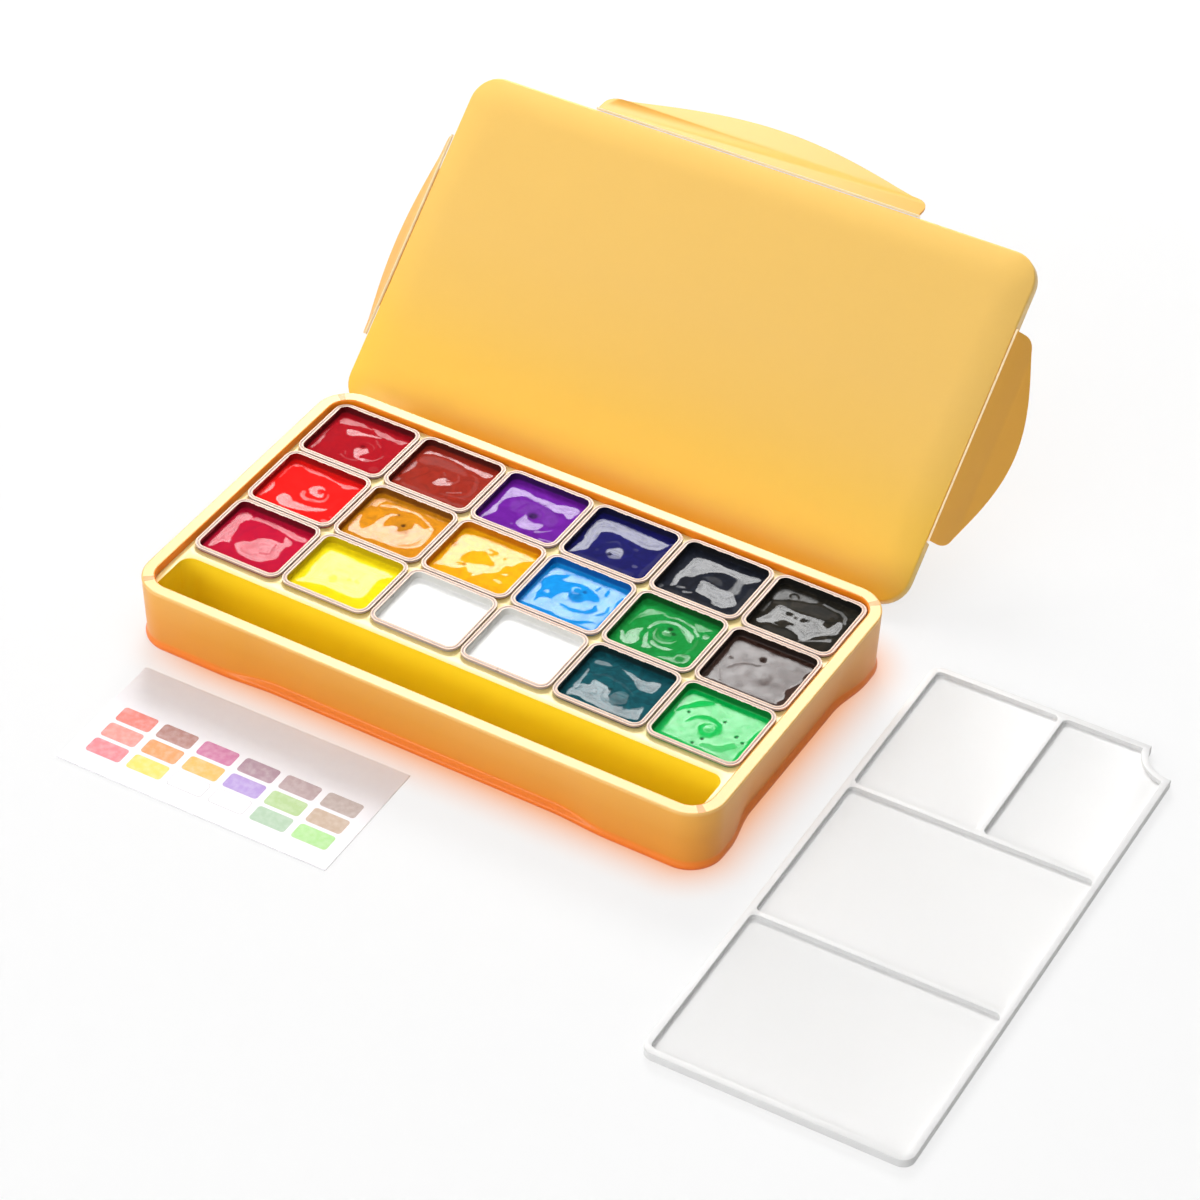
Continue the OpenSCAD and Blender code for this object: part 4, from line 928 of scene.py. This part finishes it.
def model_paint(number, recipe):
    """One cup's paint: a worked surface whose edge climbs the wall, closed down to the cup's floor."""
    low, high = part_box(f"paint_{number}")
    centre = (low + high) / 2
    half = (high - low) / 2
    deselect()
    bpy.ops.mesh.primitive_grid_add(x_subdivisions=GRID_X, y_subdivisions=GRID_Y, size=2)
    piece = bpy.context.object
    piece.name = piece.data.name = f"gouache_{number}"
    verts = piece.data.vertices
    co = np.zeros(len(verts) * 3)
    verts.foreach_get("co", co)
    u, v = co.reshape(-1, 3)[:, 0], co.reshape(-1, 3)[:, 1]
    ring = np.maximum(np.maximum(np.abs(u), np.abs(v)), 1e-9)
    climb = np.clip((ring - WALL_SHARE) / (1 - WALL_SHARE), 0, 1)
    # the climb: a quarter round, then straight up the wall
    bend = np.minimum(1, climb * 2) * math.pi / 2
    seed = 1000 * int(number)
    round_wall = np.arctan2(v, u) * half.x / MM
    ragged = 0.5 * cloud(round_wall, 0 * u, 2.4, seed + 1) + 0.35 * cloud(round_wall, 0 * u, 0.9, seed + 2)
    back, left = ease((v / ring - 0.6) * 2.5), ease((-u / ring - 0.6) * 2.5)
    film_top = np.clip(0.9 + 2.2 * back + 1.0 * left + ragged, 0.3, FILM_MOST) * MM
    straight = np.clip(climb * 2 - 1, 0, 1)
    rise = MENISCUS * (1 - np.cos(bend)) + straight * film_top
    inset = MENISCUS * (1 - np.sin(bend)) + FILM - WALL_FLARE * rise
    share = np.minimum(1, ring / WALL_SHARE)
    half_x = (half.x - inset) * share
    half_y = (half.y - inset) * share
    radius = (PAINT_CORNER - inset) * share
    x, y = u / ring * half_x, v / ring * half_y
    ax, ay = np.abs(x) - (half_x - radius), np.abs(y) - (half_y - radius)
    corner = (ax > 0) & (ay > 0)
    reach = np.maximum(np.hypot(ax, ay), 1e-12)
    x = np.where(corner, np.sign(x) * (half_x - radius + ax / reach * radius), x)
    y = np.where(corner, np.sign(y) * (half_y - radius + ay / reach * radius), y)
    height, gloss, pit_shade = worked_surface(x / MM, y / MM, recipe, seed)
    calm = np.clip((1 - share) / 0.08, 0, 1)
    z = high.z + height * MM * (0.35 + 0.65 * calm) * (1 - 0.8 * climb) + rise
    verts.foreach_set("co", np.column_stack([x + centre.x, y + centre.y, z]).ravel())
    # Painted shade: darker where the paint climbs the wall, and in the pits and on the bumps.
    film = piece.data.attributes.new("film", "FLOAT", "POINT")
    film.data.foreach_set("value", np.maximum(np.clip(climb * 2, 0, 1) * 0.85, pit_shade))
    shine = piece.data.attributes.new("gloss", "FLOAT", "POINT")
    shine.data.foreach_set("value", gloss * (1 - climb) + 0.45 * climb)
    bpy.ops.object.mode_set(mode="EDIT")
    pick("edges", lambda edge: edge.is_boundary)
    bpy.ops.mesh.extrude_region_move(TRANSFORM_OT_translate={"value": (0, 0, 0)})
    grow = 1 + FILM / half.x
    bpy.ops.transform.resize(value=(grow, grow, 1), center_override=(centre.x, centre.y, 0))
    bpy.ops.mesh.extrude_region_move(TRANSFORM_OT_translate={"value": (0, 0, 0)})
    mesh = bmesh.from_edit_mesh(piece.data)
    lean = WALL_FLARE * (high.z - low.z)
    for vert in mesh.verts:
        if vert.select:
            vert.co.z = low.z
            vert.co.x = centre.x + (vert.co.x - centre.x) * (1 - lean / half.x)
            vert.co.y = centre.y + (vert.co.y - centre.y) * (1 - lean / half.y)
    bmesh.update_edit_mesh(piece.data)
    bpy.ops.mesh.edge_face_add()
    leave_edit(piece, 50)
    return piece


def tint_and_shade_cup(cup, paint_code):
    """Colours the cup by face: the flange's top pale, with air under it; its sides and groove grey-lavender,
    partly the paint seen through and partly painted shade; the body the paint's colour, darkened as painted
    shade under the flange.
    """
    high = max(vert.co.z for vert in cup.data.vertices)
    paint = [PAINT_BEHIND_SHADED * c for c in srgb(paint_code)[:3]] + [1.0]
    tone = cup.data.attributes.new("tone", "FLOAT_COLOR", "CORNER")
    for face in cup.data.polygons:
        depth = (high - face.center.z) / MM
        upright = abs(face.normal.z) < 0.7
        colour = srgb(FLANGE_TONE)
        if depth > FLANGE_DEPTH:
            colour = paint
        elif depth > FLANGE_GROOVE * 0.8 or (upright and depth > 0.3):
            colour = srgb(SIDE_SHADE_TONE)
        for corner in face.loop_indices:
            tone.data[corner].color = colour


def make_cups():
    plastic = clear_polypropylene()
    blank, blank_centre = model_cup()
    for number, recipe in zip(CUPS, PAINTS):
        low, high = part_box(f"cup_{number}")
        cup = blank.copy()
        cup.data = blank.data.copy()
        cup.name = cup.data.name = f"pot_{number}"
        cup.data.transform(Matrix.Translation((low + high) / 2 - blank_centre))
        bpy.context.scene.collection.objects.link(cup)
        tint_and_shade_cup(cup, recipe["colour"])
        dress(cup, f"cup_{number}_body", [f"cup_{number}"], "cup_plastic", plastic)
        paint = model_paint(number, recipe)
        dress(paint, f"cup_{number}_body", [f"paint_{number}"], f"gouache_{number}",
              gouache(number, recipe["colour"], recipe["streak"], recipe["shade_code"]))
    bpy.data.objects.remove(blank)


# ---- Lid and flaps ----

WEB_INNER = 0.85 * MM       # the web curves round the hinge line between these radii
WEB_OUTER = 1.08 * MM
WEB_FROM, WEB_TO = 178, 66  # degrees, from the lid's side over the top to the flap's side
WEB_PAST = 0.8 * MM         # the web is longer than the flap by this at each end


def make_web(side, outward, normal, material):
    """The living hinge's thin web, a curved strip from the lid's edge over the hinge line."""
    joint = next(j for j in frame["joints"] if j["name"] == f"{side}_flap_hinge")
    axis, place = Vector(joint["axis"]), Vector(joint["pos_m"])
    node = frame["nodes"][f"{side}_flap"]
    half = max(abs((vert.co - place).dot(axis)) for vert in node.data.vertices) + WEB_PAST
    deselect()
    bpy.ops.mesh.primitive_grid_add(x_subdivisions=10, y_subdivisions=8, size=2)
    web = bpy.context.object
    web.name = web.data.name = f"{side}_hinge_web"
    for vert in web.data.vertices:
        angle = math.radians(WEB_FROM + (WEB_TO - WEB_FROM) * (vert.co.y + 1) / 2)
        vert.co = (place + axis * (vert.co.x * half)
                   + (outward * math.cos(angle) + normal * math.sin(angle)) * WEB_INNER)
    thick = web.modifiers.new("thickness", "SOLIDIFY")
    thick.thickness = WEB_OUTER - WEB_INNER
    thick.offset = 1
    activate(web)
    bpy.ops.object.modifier_apply(modifier=thick.name)
    bpy.ops.object.mode_set(mode="EDIT")
    leave_edit(web, 40)
    dress(web, "lid", [], "flap_plastic", material)


def make_lid(material, flap_material, web_material):
    lid = copy_of_node("lid_shell", "lid_cover")
    soften(lid, 0.3 * MM, 2)
    dress(lid, "lid", ["lid_shell"], "lid_plastic", material)
    joints = {j["name"]: j for j in frame["joints"]}
    along = Vector(joints["front_flap_hinge"]["axis"]).normalized()
    up = (Vector(joints["rear_flap_hinge"]["pos_m"])
          - Vector(joints["front_flap_hinge"]["pos_m"])).normalized()
    normal = along.cross(up)
    for side, outward in (("front", -up), ("rear", up), ("left", -along), ("right", along)):
        flap = copy_of_node(f"{side}_flap", f"{side}_latch")
        soften(flap, 0.4 * MM, 3)
        dress(flap, f"{side}_flap", [f"{side}_flap"], "flap_plastic", flap_material)
        make_web(side, outward, normal, web_material)


# ---- Palette and card ----

def make_palette(material):
    palette = copy_of_node("palette", "mixing_palette")
    soften(palette, 0.5 * MM, 3)
    dress(palette, "palette", ["palette"], "palette_plastic", material)


CARD_TURN = math.radians(1)
SAMPLE = (19 * MM, 9.8 * MM)
SAMPLE_STEP = (22.6 * MM, -12.0 * MM)
SAMPLE_FIRST = (-55.8 * MM, 3.3 * MM)       # from the card's middle
SAMPLE_CORNER = 1.7 * MM
INK = 0.04 * MM
# Three rows of samples; a pair is an outline and the colour inside it
SAMPLE_INKS = [
    ["#F0877C", "#B98880", "#D37FA8", "#B292A0", "#BBA4A6", "#BDACA6"],
    ["#F79A90", "#F0A264", "#F8BE62", "#B79CDC", "#B6D496", "#C8B09A"],
    ["#F08890", "#FAE06A", ("#D2D0D4", "#F6F5F8"), ("#D2D0D4", "#F6F5F8"), "#B2CFB2", "#B2E496"]]


def sample_print(centre, size, bottom, top, code):
    """One rounded sample as a thin layer of ink."""
    reach = Vector((size[0] / 2, size[1] / 2, 0))
    middle = Vector((centre[0], centre[1], 0))
    piece = rounded_block("sample", middle - reach + Vector((0, 0, bottom)),
                          middle + reach + Vector((0, 0, top)), SAMPLE_CORNER, 4)
    leave_edit(piece)
    ink = piece.data.attributes.new("ink", "FLOAT_COLOR", "POINT")
    ink.data.foreach_set("color", srgb(code) * len(piece.data.vertices))
    return piece


def make_card(material, ink_material):
    card = copy_of_node("colour_card", "sample_card")
    soften(card, 0.08 * MM, 1)
    dress(card, "colour_card", ["colour_card"], "card_paper", material)
    low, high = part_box("colour_card")
    samples = []
    for row, inks in enumerate(SAMPLE_INKS):
        for column, inks_here in enumerate(inks):
            centre = (SAMPLE_FIRST[0] + column * SAMPLE_STEP[0], SAMPLE_FIRST[1] + row * SAMPLE_STEP[1])
            layers = [inks_here] if isinstance(inks_here, str) else inks_here
            for layer, code in enumerate(layers):
                size = [s - 0.5 * MM * layer for s in SAMPLE]
                samples.append(sample_print(centre, size, high.z - INK, high.z + INK * (layer + 1), code))
    deselect()
    for sample in samples:
        sample.select_set(True)
    bpy.context.view_layer.objects.active = samples[0]
    bpy.ops.object.join()
    prints = bpy.context.object
    prints.name = prints.data.name = "printed_samples"
    middle = (low + high) / 2
    prints.data.transform(Matrix.Translation((middle.x, middle.y, 0)) @ Matrix.Rotation(CARD_TURN, 4, "Z"))
    dress(prints, "colour_card", [], "card_paper", ink_material)


TABLE_RADIUS = 5.0          # m
TABLE_SWEEP = 1.5           # m, radius of the upturn round its edge
TABLE_DROP = 0.2 * MM       # how far it lies under the set


def make_table():
    """A round white board whose edge sweeps up into the backdrop."""
    low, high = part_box("base_shell")
    deselect()
    bpy.ops.mesh.primitive_circle_add(vertices=96, radius=TABLE_RADIUS, fill_type="NGON", location=(0, 0, 0))
    table = bpy.context.object
    table.name = table.data.name = "table"
    table.data.transform(Matrix.Translation((0, 0, -TABLE_DROP)))
    bpy.ops.object.mode_set(mode="EDIT")
    pick("edges", lambda edge: edge.is_boundary)
    now = TABLE_RADIUS
    for angle in (20, 40, 60, 80, 90):
        a, b = math.radians(angle), math.radians(angle - (10 if angle == 90 else 20))
        wide = TABLE_RADIUS + TABLE_SWEEP * math.sin(a)
        bpy.ops.mesh.extrude_region_move(
            TRANSFORM_OT_translate={"value": (0, 0, TABLE_SWEEP * (math.cos(b) - math.cos(a)))})
        bpy.ops.transform.resize(value=(wide / now, wide / now, 1), center_override=(0, 0, 0))
        now = wide
    bpy.ops.object.mode_set(mode="OBJECT")
    smooth(table, 40)
    foot_x, foot_y = high.x - FOOT_DRAFT - FOOT_SHORT_SCOOP[0], high.y - FOOT_DRAFT - FOOT_LONG_SCOOP[0]
    table.data.materials.append(table_white(foot_x, foot_y, CASE_CORNER))


make_camera()
make_light()
make_table()
# Painted glow: the deck and the inside of the case take a lighter yellow than the case's walls, standing in
# for light coming through the thin plastic.
slot_glow_yellow = polypropylene("moulded_polypropylene_slot", "#FFE22A", "#FFE430")
make_case(polypropylene("moulded_polypropylene_case", "#FABD50", "#FBC158", painted_tones=CASE_SHADE_AND_SHEEN_TONES), slot_glow_yellow,
          # Painted shade: a deeper orange copy of the plastic for the rim's inner wall.
          polypropylene("moulded_polypropylene_recess", "#FF8C08", "#FF9210"))
# Painted sheen: a pale cream copy of the plastic on the deck's top.
make_deck(slot_glow_yellow, polypropylene("moulded_polypropylene_deck", "#FFE596", "#FFE9A2"))
make_cups()
# The flaps take a deeper copy of the lid's yellow: painted shade that keeps the brightly lit rear flap down.
make_lid(polypropylene("moulded_polypropylene_lid", "#FACB66", "#FBCE6C", painted_tones=LID_BOUNCE_TONES),
         polypropylene("moulded_polypropylene_flap", "#F5B244", "#F7B84C", roughness=0.5),
         polypropylene("thin_polypropylene_web", "#FFE6B4", "#FFEABE"))
make_palette(polystyrene())
make_card(coated_card(), printed_ink())
